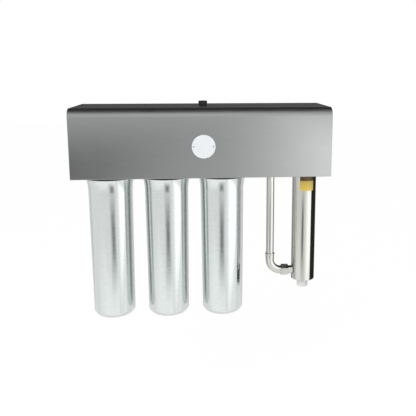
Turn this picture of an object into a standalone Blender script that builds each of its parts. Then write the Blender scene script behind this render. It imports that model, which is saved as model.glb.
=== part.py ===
"""Whole house water filter for a wall.

Three long stainless steel housings hang in a row from moulded heads, and a steel pipe
leads their water down into the foot of an ultraviolet chamber at the right. A wall
bracket carries everything, and a folded steel cover lifts off its top.

Metres, +Z up. The origin lies on the wall, in the middle of the bracket, at the height
of the inlet and outlet pipes. X runs to the right and the front faces -Y.
"""

import math

import bmesh
import bpy
from mathutils import Matrix, Vector

# Fits and cuts
SEAT_GAP = 0.0003  # between two pieces that touch
SLIP_GAP = 0.0003  # round a shaft, pipe or thread in its hole
CUT_OVER = 0.003  # how far a cutter runs past the face that it cuts
WELD = 0.00001

# Places of the main pieces
LINE_TO_WALL = 0.138  # axes of the housings, pipes and chamber, out from the wall
HOUSINGS = 3
RING_TO_RING = 0.0022  # between the lock rings of two housings
LINK_GAP = 0.009  # between the ports of two heads
PIPE_PAST_PORT = 0.0805  # axis of the down pipe past the last port
CHAMBER_PAST_PIPE = 0.120

# Folded cover
COVER_PAST_PORT = 0.020  # left cheek past the first port
COVER_PAST_CHAMBER = 0.0275  # right cheek past the chamber
COVER_HEIGHT = 0.231
COVER_DEPTH = 0.255
COVER_DROP = 0.082  # from the pipes' height down to its lower edge
COVER_SHEET = 0.0012
COVER_BEND_R = 0.028
COVER_CORNER_R = 0.0024
COVER_HEM = 0.011
COVER_BACK_FOLD = 0.012
COVER_TO_WALL = 0.001
PIPE_SLOT_R = 0.0195
KNOB_HOLE_R = 0.0047

# Knob on the cover
KNOB_X = 0.004
KNOB_TO_WALL = 0.128
KNOB_R = 0.0150
KNOB_HEIGHT = 0.0165
KNOB_CHAMFER = 0.0018
KNOB_FLUTES = 9
KNOB_FLUTE_DEPTH = 0.0009
KNOB_FOOT_R = 0.0118
KNOB_FOOT_HEIGHT = 0.0022
KNOB_STUD_R = 0.0040
KNOB_STUD_LENGTH = 0.019

# Badge on the cover
BADGE_X = 0.004
BADGE_UP = 0.0235  # its centre above the pipes' height
BADGE_R = 0.0392
BADGE_THICK = 0.0030
BADGE_EDGE = 0.0010
RIVET_IN = 0.0072  # its axis, in from the badge's edge
RIVET_HEAD_R = 0.0023
RIVET_HEAD_HEIGHT = 0.0011
RIVET_SHANK_R = 0.0014
RIVET_TAIL = 0.0020

# Wall bracket
BRACKET_IN_COVER = 0.025  # each end inside the cover's end
BRACKET_SHEET = 0.0025
BRACKET_DROP = 0.050
SHELF_DEPTH = 0.200
SHELF_TO_CHAMBER = 0.0755  # right end of the shelf, left of the chamber's axis
LIP_DEPTH = 0.014
GUSSET_REACH = 0.128
KEYHOLE_XS = (-0.300, -0.100, 0.100, 0.300)
KEYHOLE_UP = 0.112
KEYHOLE_R = 0.0062
KEYHOLE_NECK_R = 0.0034
KEYHOLE_RISE = 0.0110
KEYHOLE_STEPS = 8
POST_ACROSS = 0.0160
POST_FOOT_R = 0.0045

# Filter head
HEAD_SEAL_DROP = 0.079  # from the pipes' height down to the sealing face
SKIRT_R = 0.0902
SKIRT_HEIGHT = 0.031
SKIRT_BORE_R = 0.0815
HEAD_BOWL_FLARE = 0.024
HEAD_R = 0.0760
HEAD_SHOULDER = 0.008
HEAD_TOP = 0.036
HEAD_TOP_R = 0.0620
HEAD_TOP_ROUND = 0.010
HEAD_BOWL_R = 0.0640
HEAD_BOWL_TOP = -0.030
SPIGOT_R = 0.0155
SPIGOT_BORE_R = 0.0110
SPIGOT_LENGTH = 0.026
PORT_R = 0.0265
PORT_THREAD_DEPTH = 0.018
WATERWAY_R = 0.0120
INTAKE_REACH = 0.047
INTAKE_R = 0.0085
RIB_COUNT = 4
RIB_THICK = 0.0040
RIB_BELOW_TOP = 0.010
RIB_ROOT = 0.0001

# Seal ring between head and sump
SEAL_R = 0.0860
SEAL_SECTION_R = 0.0025
SEAL_GROOVE_WIDTH = 0.0056
SEAL_GROOVE_DEPTH = 0.0033
RIM_GAP = 0.0023

# Sump
SUMP_LENGTH = 0.5087
SUMP_WALL = 0.0012
SUMP_NECK_R = 0.0753
SUMP_FOOT_R = 0.0717
SUMP_CORNER_R = 0.026
SUMP_CROWN = 0.0025
SUMP_FLAT_R = 0.020
SUMP_CORNER_STEPS = 4
FLARE_R = 0.185
FLARE_HEIGHT = 0.0627
FLARE_SHARES = (0, 0.42, 0.74)
RIM_R = 0.0880
RIM_THICK = 0.0040

# Lock ring that screws the sump to the head
RING_WALL = 0.0040  # outside the head's skirt
RING_RIB_HEIGHT = 0.0012
RING_RIBS = 12
RING_LIP_THICK = 0.0063
RING_HEIGHT = 0.041
RING_CHAMFER = 0.0016

# Filter cartridge
CARTRIDGE_R = 0.0570
CARTRIDGE_CORE_R = 0.0180
PLEATS = 20
PLEAT_DEPTH = 0.0150
END_CAP_R = 0.0610
END_CAP_RIM = 0.0060
END_CAP_FLOOR = 0.0025
FOOT_PEG_R = 0.0130
FOOT_PEG_LENGTH = 0.010

# Relief button in each head
BUTTON_R = 0.0090
BUTTON_STEM_R = 0.0035
BUTTON_STEM_LENGTH = 0.013
BUTTON_HEIGHT = 0.0125
BUTTON_STAND = 0.0036  # its cap above the head's top
BUTTON_TRAVEL = 0.0030
BUTTON_DOME = 0.0025
SHELF_BUTTON_HOLE_R = 0.0120

# Screws that hold the heads under the shelf
SCREW_SPAN_X = 0.076
SCREW_SPAN_Y = 0.064
SCREW_R = 0.0030
SCREW_LENGTH = 0.0140
SCREW_HEAD_ACROSS = 0.0100
SCREW_HEAD_HEIGHT = 0.0040

# Pipes and fittings
THREAD_R = 0.0163
THREAD_LENGTH = 0.014
NIPPLE_BORE_R = 0.0120
NIPPLE_HEX = 0.0400
NIPPLE_HEX_LENGTH = 0.010
PORT_STAND = 0.018  # free ends of the inlet and the outlet, past the cover
PIPE_R = 0.0140
PIPE_WALL = 0.0012
ELBOW_R = 0.0150
ELBOW_WALL = 0.0012
ELBOW_BEND_R = 0.0400
ELBOW_STEPS = 5
SOCKET_WALL = 0.0010
SOCKET_DEPTH = 0.022
BEAD_RISE = 0.0015
BEAD_HALF = 0.0035
COLLAR_R = 0.0200
UNION_ACROSS = 0.0375
UNION_LENGTH = 0.0265
UNION_LIP = 0.0040
UNION_PAST_PIPE = 0.0395  # its left end, past the down pipe's axis
TAIL_FLANGE_R = 0.0165
TAIL_FLANGE_THICK = 0.0030

# Ultraviolet chamber
CHAMBER_R = 0.0420
CHAMBER_WALL = 0.0015
CHAMBER_LENGTH = 0.5075
CHAMBER_END_THICK = 0.0030
CHAMBER_EDGE = 0.0020
CHAMBER_TOP = 0.030  # above the outlet's axis
CHAMBER_INLET_UP = 0.0305  # inlet's axis above its foot
NECK_R = 0.0150
NECK_BORE_R = 0.0125
NECK_THREAD_R = 0.0166
NECK_THREAD_LENGTH = 0.016
GLAND_BOSS_R = 0.0160
GLAND_BOSS_HEIGHT = 0.013
GLAND_BORE_R = 0.0120
SLEEVE_R = 0.0115
SLEEVE_WALL = 0.0012
SLEEVE_STAND = 0.0200  # past each end of the chamber
LAMP_R = 0.0080
LAMP_TOP_STAND = 0.034
LAMP_FOOT_UP = 0.012
LAMP_FERRULE_R = 0.0092
LAMP_FERRULE_LENGTH = 0.016
FOOT_CAP_R = 0.0195
FOOT_CAP_LENGTH = 0.0315
FOOT_CAP_EDGE = 0.0020
FOOT_CAP_RIBS = 14
FOOT_CAP_RIB_DEPTH = 0.0006
TOP_NUT_ACROSS = 0.0420
TOP_NUT_HEIGHT = 0.0255
TOP_NUT_ROOF = 0.0040
TOP_NUT_HOLE_R = 0.0106
SOCKET_CAP_R = 0.0140
SOCKET_CAP_LENGTH = 0.026
SOCKET_CAP_ABOVE_NUT = 0.004
SOCKET_CAP_EDGE = 0.003

# Chamber clamp
CLAMP_DROP = 0.036
CLAMP_HEIGHT = 0.020
CLAMP_THICK = 0.0030
CLAMP_EAR_REACH = 0.012
CLAMP_EAR_THICK = 0.008
CLAMP_NUT_R = 0.0080
CLAMP_NUT_LENGTH = 0.010
CLAMP_ROD_R = 0.0040
CLAMP_ROD_IN_NUT = 0.007
CLAMP_FOOT_SIDE = 0.044
CLAMP_FOOT_THICK = 0.0030

# Lamp supply on the shelf
SUPPLY_PAST_HEAD = 0.050  # its left end, past the last head's axis
SUPPLY_LENGTH = 0.132
SUPPLY_TO_WALL = (0.092, 0.166)
SUPPLY_HEIGHT = 0.042
SUPPLY_EDGE = 0.004
SUPPLY_RIBS = 5
SUPPLY_RIB_WIDTH = 0.003
SUPPLY_RIB_DEPTH = 0.0015
SUPPLY_GLAND_R = 0.0070
SUPPLY_GLAND_LENGTH = 0.012
SUPPLY_GLAND_UP = 0.020
LEAD_R = 0.0028
LEAD_END_RUN = 0.008
LEAD_PEAK_ABOVE_SOCKET = 0.030
# Shares of the lead's way across, of its way back, of its climb, and of its peak
LEAD_ROUTE_SHARES = ((0.32, 0.3, 0.35, 0), (0.58, 0.6, 1, 0.3), (0.82, 1, 1, 0.88), (0.955, 1, 1, 0.74))

# Number of flats on round pieces
HOUSING_SIDES = 24  # head, sump, seal and lock ring, which sit in one another
CHAMBER_SIDES = 24
PIPE_SIDES = 16
FITTING_SIDES = 12
CARTRIDGE_SIDES = 16
SMALL_SIDES = 12
BORE_SIDES = 10
SCREW_SIDES = 6
SEAL_FACETS = 4
BEND_STEPS = 6
BEAD_STEPS = 3
LEAD_STEPS = 4

# Shares of small forms
KNOB_TOP_IN_SHARE = 1.5  # of its chamfer
RIVET_CROWN_SHARE = 0.6  # of its head's radius
RIVET_SHOULDER_SHARE = 0.8  # of its head's height
BUTTON_CROWN_SHARE = 0.6  # of its radius
BUTTON_SHOULDER_SHARE = 0.25  # of its dome

# Worked-out places
RING_R = SKIRT_R + RING_WALL
HOUSING_PITCH = 2 * (RING_R + RING_RIB_HEIGHT) + RING_TO_RING
PORT_REACH = (HOUSING_PITCH - LINK_GAP) / 2
ROW_LENGTH = HOUSINGS * HOUSING_PITCH - LINK_GAP
PAST_ROW = PIPE_PAST_PORT + CHAMBER_PAST_PIPE + CHAMBER_R
COVER_WIDTH = COVER_PAST_PORT + ROW_LENGTH + PAST_ROW + COVER_PAST_CHAMBER
FIRST_PORT_X = COVER_PAST_PORT - COVER_WIDTH / 2
LAST_PORT_X = FIRST_PORT_X + ROW_LENGTH
HOUSING_XS = [FIRST_PORT_X + PORT_REACH + HOUSING_PITCH * k for k in range(HOUSINGS)]
DOWN_PIPE_X = LAST_PORT_X + PIPE_PAST_PORT
CHAMBER_X = DOWN_PIPE_X + CHAMBER_PAST_PIPE
UNION_X = DOWN_PIPE_X + UNION_PAST_PIPE
PORT_FACE_X = COVER_WIDTH / 2 + PORT_STAND
BRACKET_WIDTH = COVER_WIDTH - 2 * BRACKET_IN_COVER
SHELF_RIGHT_X = CHAMBER_X - SHELF_TO_CHAMBER
SUPPLY_LEFT = HOUSING_XS[-1] + SUPPLY_PAST_HEAD
SUPPLY_RIGHT = SUPPLY_LEFT + SUPPLY_LENGTH
SHEET_TOP = COVER_HEIGHT - COVER_DROP
SHELF_LOW = HEAD_TOP + SEAT_GAP
SHELF_TOP = SHELF_LOW + BRACKET_SHEET
BRACKET_TOP = SHEET_TOP - COVER_SHEET - SEAT_GAP
COVER_BACK = -COVER_TO_WALL
COVER_FRONT = COVER_BACK - COVER_DEPTH
RIM_TOP = -HEAD_SEAL_DROP - RIM_GAP
SUMP_FOOT = RIM_TOP - SUMP_LENGTH
FLARE_FOOT = RIM_TOP - FLARE_HEIGHT
CHAMBER_FOOT = CHAMBER_TOP - CHAMBER_LENGTH
INLET_Z = CHAMBER_FOOT + CHAMBER_INLET_UP
LINE_Y = -LINE_TO_WALL
RIVET_SPAN = 2 * (BADGE_R - RIVET_IN)

# Surfaces: sRGB colour, roughness, metallic
FINISHES = {
    "brushed_steel": ("A3A5A4", 0.38, 1.0),
    "polished_steel": ("D2D4D6", 0.14, 1.0),
    "zinc_steel": ("B4B8BC", 0.42, 1.0),
    "bracket_paint": ("3C3F42", 0.55, 0.0),
    "head_plastic": ("24272B", 0.50, 0.0),
    "ring_plastic": ("2B2E33", 0.55, 0.0),
    "knob_plastic": ("141414", 0.45, 0.0),
    "button_plastic": ("B3261E", 0.40, 0.0),
    "badge_enamel": ("F4F6F7", 0.30, 0.0),
    "white_plastic": ("F2F2F0", 0.40, 0.0),
    "cap_plastic": ("DCE6EA", 0.45, 0.0),
    "pleated_paper": ("F1EFE8", 0.90, 0.0),
    "carbon_wrap": ("E9E8E2", 0.92, 0.0),
    "seal_rubber": ("17181A", 0.80, 0.0),
    "quartz_glass": ("E8F3F5", 0.05, 0.0),
    "supply_plastic": ("2F3236", 0.50, 0.0),
    "lead_rubber": ("1B1C1E", 0.60, 0.0),
}


def clear(radius, sides):
    """Radius of a many-sided bore whose flats stand clear of a round piece in it."""
    return (radius + SLIP_GAP) / math.cos(math.pi / sides)


def clear_scene():
    for thing in list(bpy.data.objects):
        bpy.data.objects.remove(thing, do_unlink=True)


def finish(name):
    """The named surface, made once."""
    if name in bpy.data.materials:
        return bpy.data.materials[name]
    colour, roughness, metallic = FINISHES[name]
    material = bpy.data.materials.new(name)
    material.use_nodes = True
    shader = material.node_tree.nodes["Principled BSDF"]
    channels = [int(colour[i : i + 2], 16) / 255 for i in (0, 2, 4)]
    linear = [c / 12.92 if c <= 0.04045 else ((c + 0.055) / 1.055) ** 2.4 for c in channels]
    shader.inputs["Base Color"].default_value = (*linear, 1.0)
    shader.inputs["Roughness"].default_value = roughness
    shader.inputs["Metallic"].default_value = metallic
    return material


def place(name, bm, surface, at=(0, 0, 0), parent=None, turn=None):
    """Makes the mesh an object with its origin at a point, under an optional parent."""
    bmesh.ops.remove_doubles(bm, verts=bm.verts, dist=WELD)
    bmesh.ops.recalc_face_normals(bm, faces=bm.faces)
    mesh = bpy.data.meshes.new(name)
    bm.to_mesh(mesh)
    bm.free()
    thing = bpy.data.objects.new(name, mesh)
    bpy.context.scene.collection.objects.link(thing)
    thing.location = Vector(at)
    if turn:
        thing.rotation_euler = turn
    if parent:
        thing.parent = parent
        thing.location = Vector(at) - parent.location
    if surface:
        mesh.materials.append(finish(surface))
        mesh.shade_smooth()
        mesh.set_sharp_from_angle(angle=math.radians(38))
    return thing


def pivot(name, at):
    """An empty that a group of pieces moves with."""
    empty = bpy.data.objects.new(name, None)
    bpy.context.scene.collection.objects.link(empty)
    empty.location = Vector(at)
    return empty


def stack_rings(rings, closed):
    """Joins rings of as many points by quads. Closed joins the last to the first too."""
    bm = bmesh.new()
    loops = [[bm.verts.new(point) for point in ring] for ring in rings]
    pairs = list(zip(loops, loops[1:]))
    if closed:
        pairs.append((loops[-1], loops[0]))
    else:
        bm.faces.new(loops[0])
        bm.faces.new(loops[-1])
    for first, second in pairs:
        for i in range(len(first)):
            j = (i + 1) % len(first)
            bm.faces.new((first[i], first[j], second[j], second[i]))
    return bm


def turned(outline, sides, hollow=True):
    """Spins an outline of (radius, height) points round Z.

    A hollow outline closes on itself. Another starts and ends on the axis, and where it
    meets the axis squarely its end becomes one flat face.
    """
    bm = bmesh.new()
    half = math.pi / sides
    across, along = math.cos(half), math.sin(half)
    verts = [bm.verts.new((radius * across, radius * along, height)) for radius, height in outline]
    edges = [bm.edges.new(pair) for pair in zip(verts, verts[1:])]
    if hollow:
        edges.append(bm.edges.new((verts[-1], verts[0])))
    bmesh.ops.spin(
        bm,
        geom=verts + edges,
        cent=(0, 0, 0),
        axis=(0, 0, 1),
        angle=math.tau,
        steps=sides,
        use_merge=True,
    )
    if not hollow:
        bmesh.ops.remove_doubles(bm, verts=bm.verts, dist=WELD)
        bm.normal_update()
        for vert in [v for v in bm.verts if math.hypot(v.co.x, v.co.y) < WELD]:
            if all(abs(face.normal.z) > 1 - WELD for face in vert.link_faces):
                bmesh.ops.dissolve_faces(bm, faces=list(vert.link_faces))
    return bm


def extruded(outline, low, high):
    """A prism over an (x, y) outline, from height low to high."""
    bm = bmesh.new()
    face = bm.faces.new([bm.verts.new((x, y, low)) for x, y in outline])
    raised = bmesh.ops.extrude_face_region(bm, geom=[face])["geom"]
    top = [item for item in raised if isinstance(item, bmesh.types.BMVert)]
    bmesh.ops.translate(bm, vec=(0, 0, high - low), verts=top)
    return bm


def along_x(bm):
    """Turns a mesh built along Z so that it runs along +X, and its x becomes -Z."""
    quarter = Matrix.Rotation(math.pi / 2, 3, "Y")
    bmesh.ops.rotate(bm, verts=bm.verts, cent=(0, 0, 0), matrix=quarter)
    return bm


def along_y(bm):
    """Turns a mesh built along Z so that it runs along -Y, and its y becomes Z."""
    quarter = Matrix.Rotation(math.pi / 2, 3, "X")
    bmesh.ops.rotate(bm, verts=bm.verts, cent=(0, 0, 0), matrix=quarter)
    return bm


def side_profile(outline, low_x, high_x):
    """A prism along X over an outline of (y, z) points."""
    bm = extruded(outline, low_x, high_x)
    swap = Matrix(((0, 0, 1), (1, 0, 0), (0, 1, 0)))
    bmesh.ops.transform(bm, matrix=swap.to_4x4(), verts=bm.verts)
    return bm


def block(low, high):
    bm = bmesh.new()
    bmesh.ops.create_cube(bm, size=1.0)
    sides = [b - a for a, b in zip(low, high)]
    middle = [(a + b) / 2 for a, b in zip(low, high)]
    bmesh.ops.scale(bm, vec=sides, verts=bm.verts)
    bmesh.ops.translate(bm, vec=middle, verts=bm.verts)
    return bm


def drum(radius, low, high, sides):
    """A plain round bar along Z."""
    return turned([(0, high), (radius, high), (radius, low), (0, low)], sides, hollow=False)


def hexagon(across, low, high):
    """A hexagonal bar along Z with flats facing +Y and -Y."""
    corner = across / math.sqrt(3)
    angles = [math.tau * i / 6 for i in range(6)]
    return extruded([(corner * math.cos(a), corner * math.sin(a)) for a in angles], low, high)


def arc(centre, radius, start, end, steps):
    """Points of an arc, angles in degrees, both ends included."""
    angles = [math.radians(start + (end - start) * i / steps) for i in range(steps + 1)]
    return [(centre[0] + radius * math.cos(a), centre[1] + radius * math.sin(a)) for a in angles]


def combine(thing, helper, operation):
    """Adds a Boolean with a helper that isn't part of the model itself."""
    helper.hide_render = True
    helper.display_type = "WIRE"
    modifier = thing.modifiers.new(helper.name, "BOOLEAN")
    modifier.operation = operation
    modifier.object = helper
    modifier.solver = "EXACT"


def cut(thing, bm, at=(0, 0, 0), turn=None):
    helper = place(f"{thing.name}_cut_{len(thing.modifiers)}", bm, None, at, turn=turn)
    combine(thing, helper, "DIFFERENCE")


def weld(thing, bm, at=(0, 0, 0), turn=None):
    helper = place(f"{thing.name}_add_{len(thing.modifiers)}", bm, None, at, turn=turn)
    combine(thing, helper, "UNION")


def bevel_edges(bm, width, wanted, segments=2):
    edges = [edge for edge in bm.edges if wanted(edge)]
    bmesh.ops.bevel(bm, geom=edges, offset=width, segments=segments, affect="EDGES", profile=0.5)
    return bm


def make_bracket():
    """Back plate with a lip on top, a shelf for the heads, and gussets under it."""
    half = BRACKET_WIDTH / 2
    plate = -BRACKET_SHEET
    outline = [
        (0, -BRACKET_DROP),
        (0, BRACKET_TOP),
        (-LIP_DEPTH, BRACKET_TOP),
        (-LIP_DEPTH, BRACKET_TOP - BRACKET_SHEET),
        (plate, BRACKET_TOP - BRACKET_SHEET),
        (plate, -BRACKET_DROP),
    ]
    bracket = place("wall_bracket", side_profile(outline, -half, half), "bracket_paint")
    shelf = block((-half, -SHELF_DEPTH, SHELF_LOW), (SHELF_RIGHT_X, plate / 2, SHELF_TOP))
    weld(bracket, shelf)
    between = [x + HOUSING_PITCH / 2 for x in HOUSING_XS[:-1]]
    middle = BRACKET_SHEET / 2
    for x in (-half + middle, *between, SHELF_RIGHT_X - middle):
        gusset = [
            (plate / 2, SHELF_LOW + middle),
            (-GUSSET_REACH, SHELF_LOW + middle),
            (-GUSSET_REACH, SHELF_LOW - BRACKET_SHEET),
            (plate - BRACKET_SHEET, -BRACKET_DROP),
            (plate / 2, -BRACKET_DROP),
        ]
        weld(bracket, side_profile(gusset, x - middle, x + middle))
    low, high = SHELF_LOW - CUT_OVER, SHELF_TOP + CUT_OVER
    for x in HOUSING_XS:
        cut(bracket, drum(SHELF_BUTTON_HOLE_R, low, high, SMALL_SIDES), (x, LINE_Y, 0))
        for dx, dy in screw_places():
            hole = drum(clear(SCREW_R, SCREW_SIDES), low, high, SCREW_SIDES)
            cut(bracket, hole, (x + dx, LINE_Y + dy, 0))
    post_hole = drum(clear(POST_FOOT_R, SMALL_SIDES), low, high, SMALL_SIDES)
    cut(bracket, post_hole, (KNOB_X, -KNOB_TO_WALL, 0))
    for x in KEYHOLE_XS:
        cut(bracket, keyhole(), (x, 0, KEYHOLE_UP))
    return bracket


def screw_places():
    """Where the four screws of a head stand, from its axis."""
    return [(sx * SCREW_SPAN_X / 2, sy * SCREW_SPAN_Y / 2) for sx in (-1, 1) for sy in (-1, 1)]


def keyhole():
    """A cutter: a round hole that passes a screw's head, with a slot that rises from it."""
    half = math.asin(KEYHOLE_NECK_R / KEYHOLE_R)
    start = 90 + math.degrees(half)
    outline = arc((0, 0), KEYHOLE_R, start, start + 360 - 2 * math.degrees(half), KEYHOLE_STEPS)
    outline += arc((0, KEYHOLE_RISE), KEYHOLE_NECK_R, 0, 180, KEYHOLE_STEPS // 2)
    return along_y(extruded(outline, -CUT_OVER, BRACKET_SHEET + CUT_OVER))


def make_post():
    """Hexagonal post on the shelf that the knob screws down to."""
    at = (KNOB_X, -KNOB_TO_WALL, 0)
    bar = hexagon(POST_ACROSS, SHELF_TOP + SEAT_GAP, BRACKET_TOP)
    post = place("cover_post", bar, "zinc_steel", at)
    weld(post, drum(POST_FOOT_R, SHELF_LOW, SHELF_TOP + POST_FOOT_R, SMALL_SIDES), at)
    floor = BRACKET_TOP - KNOB_STUD_LENGTH - SLIP_GAP
    bore = drum(clear(KNOB_STUD_R, SMALL_SIDES), floor, BRACKET_TOP + CUT_OVER, SMALL_SIDES)
    cut(post, bore, at)


def cover_outline(front, back, low, top, radius, steps):
    """Side view of the cover: (y, z) points with the round bend at the front top."""
    outline = [(back, low), (back, top)]
    outline += arc((front + radius, top - radius), radius, 90, 180, steps)
    outline.append((front, low))
    return outline


def make_cover(lift):
    """One folded sheet: front, bend, top and two cheeks, open below and behind."""
    half = COVER_WIDTH / 2
    low = -COVER_DROP
    outline = cover_outline(COVER_FRONT, COVER_BACK, low, SHEET_TOP, COVER_BEND_R, BEND_STEPS)
    outer = side_profile(outline, -half, half)
    on_front = COVER_FRONT + COVER_BEND_R + WELD

    def corner(edge):
        """Whether an edge lies where a cheek meets the front, the bend or the top."""
        first, second = (vert.co for vert in edge.verts)
        across = abs(first.x - second.x) > WELD
        on_foot = max(first.z, second.z) < low + WELD
        on_top = min(first.z, second.z) > SHEET_TOP - WELD
        return not across and not on_foot and (on_top or max(first.y, second.y) < on_front)

    bevel_edges(outer, COVER_CORNER_R, corner)
    cover = place("cover", outer, "brushed_steel", parent=lift, at=lift.location)
    shift_mesh(cover, -lift.location)
    inner_front = COVER_FRONT + COVER_SHEET
    inner_top = SHEET_TOP - COVER_SHEET
    inner_half = half - COVER_SHEET
    inner_back = COVER_BACK - COVER_SHEET
    inner_r = COVER_BEND_R - COVER_SHEET
    inner = cover_outline(inner_front, inner_back, low - CUT_OVER, inner_top, inner_r, BEND_STEPS)
    hem_y = inner_front + COVER_HEM
    hem_top = low + COVER_SHEET
    inner[-1:] = [(inner_front, hem_top), (hem_y, hem_top), (hem_y, low - CUT_OVER)]
    cut(cover, side_profile(inner, -inner_half, inner_half))
    open_half = inner_half - COVER_BACK_FOLD
    rear = block((-open_half, inner_back - CUT_OVER, low - CUT_OVER), (open_half, CUT_OVER, inner_top))
    cut(cover, rear)
    for side in (-1, 1):
        slot = [(LINE_Y + PIPE_SLOT_R, low - CUT_OVER), (LINE_Y + PIPE_SLOT_R, 0)]
        slot += arc((LINE_Y, 0), PIPE_SLOT_R, 0, 180, BEND_STEPS)[1:-1]
        slot += [(LINE_Y - PIPE_SLOT_R, 0), (LINE_Y - PIPE_SLOT_R, low - CUT_OVER)]
        ends = sorted((side * (half + CUT_OVER), side * (inner_half - CUT_OVER)))
        cut(cover, side_profile(slot, *ends))
    hole = drum(KNOB_HOLE_R, inner_top - CUT_OVER, SHEET_TOP + CUT_OVER, SMALL_SIDES)
    cut(cover, hole, (KNOB_X, -KNOB_TO_WALL, 0))
    for side in (-1, 1):
        hole = drum(clear(RIVET_SHANK_R, SCREW_SIDES), -CUT_OVER, COVER_SHEET + CUT_OVER, SCREW_SIDES)
        cut(cover, along_y(hole), (BADGE_X + side * RIVET_SPAN / 2, inner_front, BADGE_UP))
    return cover


def shift_mesh(thing, by):
    """Moves the points of a mesh that was modelled in world coordinates under its origin."""
    thing.data.transform(Matrix.Translation(by))


def make_badge(lift):
    """Blank round badge with a rivet at either side."""
    front = COVER_FRONT - SEAT_GAP
    outline = [
        (0, BADGE_THICK),
        (BADGE_R - BADGE_EDGE, BADGE_THICK),
        (BADGE_R, BADGE_THICK - BADGE_EDGE),
        (BADGE_R, 0),
        (0, 0),
    ]
    disc = along_y(turned(outline, HOUSING_SIDES, hollow=False))
    badge = place("badge", disc, "badge_enamel", (BADGE_X, front, BADGE_UP), lift)
    for name, side in (("badge_rivet_left", -1), ("badge_rivet_right", 1)):
        x = BADGE_X + side * RIVET_SPAN / 2
        hole = drum(clear(RIVET_SHANK_R, SCREW_SIDES), -CUT_OVER, BADGE_THICK + CUT_OVER, SCREW_SIDES)
        cut(badge, along_y(hole), (x, front, BADGE_UP))
        head = BADGE_THICK + SEAT_GAP
        rivet = [
            (0, head + RIVET_HEAD_HEIGHT),
            (RIVET_HEAD_R * RIVET_CROWN_SHARE, head + RIVET_HEAD_HEIGHT * RIVET_SHOULDER_SHARE),
            (RIVET_HEAD_R, head),
            (RIVET_SHANK_R, head),
            (RIVET_SHANK_R, -SEAT_GAP - COVER_SHEET - RIVET_TAIL),
            (0, -SEAT_GAP - COVER_SHEET - RIVET_TAIL),
        ]
        body = along_y(turned(rivet, SCREW_SIDES, hollow=False))
        place(name, body, "zinc_steel", (x, front, BADGE_UP), lift)


def make_knob(lift):
    """Fluted plastic knob with a steel stud, on the middle of the cover's top."""
    base = SHEET_TOP + SEAT_GAP
    sides = KNOB_FLUTES * 4

    def ring(radius, height, flute):
        points = []
        for i in range(sides):
            angle = math.tau * i / sides
            r = radius - flute * (1 - math.cos(KNOB_FLUTES * angle)) / 2
            points.append((r * math.cos(angle), r * math.sin(angle), height))
        return points

    flute_top = KNOB_HEIGHT - KNOB_CHAMFER
    rings = [
        ring(KNOB_R - KNOB_CHAMFER * KNOB_TOP_IN_SHARE, KNOB_HEIGHT, 0),
        ring(KNOB_R, flute_top, KNOB_FLUTE_DEPTH),
        ring(KNOB_R, KNOB_FOOT_HEIGHT + KNOB_CHAMFER, KNOB_FLUTE_DEPTH),
        ring(KNOB_R - KNOB_CHAMFER, KNOB_FOOT_HEIGHT, 0),
        ring(KNOB_FOOT_R, KNOB_FOOT_HEIGHT, 0),
        ring(KNOB_FOOT_R, 0, 0),
    ]
    at = (KNOB_X, -KNOB_TO_WALL, base)
    knob = place("cover_knob", stack_rings(rings, closed=False), "knob_plastic", at, lift)
    depth = COVER_SHEET + SEAT_GAP + KNOB_STUD_LENGTH
    weld(knob, drum(KNOB_STUD_R, -depth, KNOB_FOOT_HEIGHT, SMALL_SIDES), at)


def head_outline():
    """Half section of a head, down its outer side and back up through its bowl."""
    seal = -HEAD_SEAL_DROP
    skirt_top = seal + SKIRT_HEIGHT
    groove_in = SEAL_R - SEAL_GROOVE_WIDTH / 2
    groove_out = SEAL_R + SEAL_GROOVE_WIDTH / 2
    bowl_foot = seal + HEAD_BOWL_FLARE
    spigot_foot = HEAD_BOWL_TOP - SPIGOT_LENGTH
    outline = [(0, HEAD_TOP), (HEAD_TOP_R, HEAD_TOP)]
    outline += [
        (HEAD_R, HEAD_TOP - HEAD_TOP_ROUND),
        (HEAD_R, skirt_top + HEAD_SHOULDER),
        (SKIRT_R, skirt_top),
        (SKIRT_R, seal),
        (groove_out, seal),
        (groove_out, seal + SEAL_GROOVE_DEPTH),
        (groove_in, seal + SEAL_GROOVE_DEPTH),
        (groove_in, seal),
        (SKIRT_BORE_R, seal),
        (HEAD_BOWL_R, bowl_foot),
        (HEAD_BOWL_R, HEAD_BOWL_TOP),
        (SPIGOT_R, HEAD_BOWL_TOP),
        (SPIGOT_R, spigot_foot),
        (0, spigot_foot),
    ]
    return outline


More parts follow.
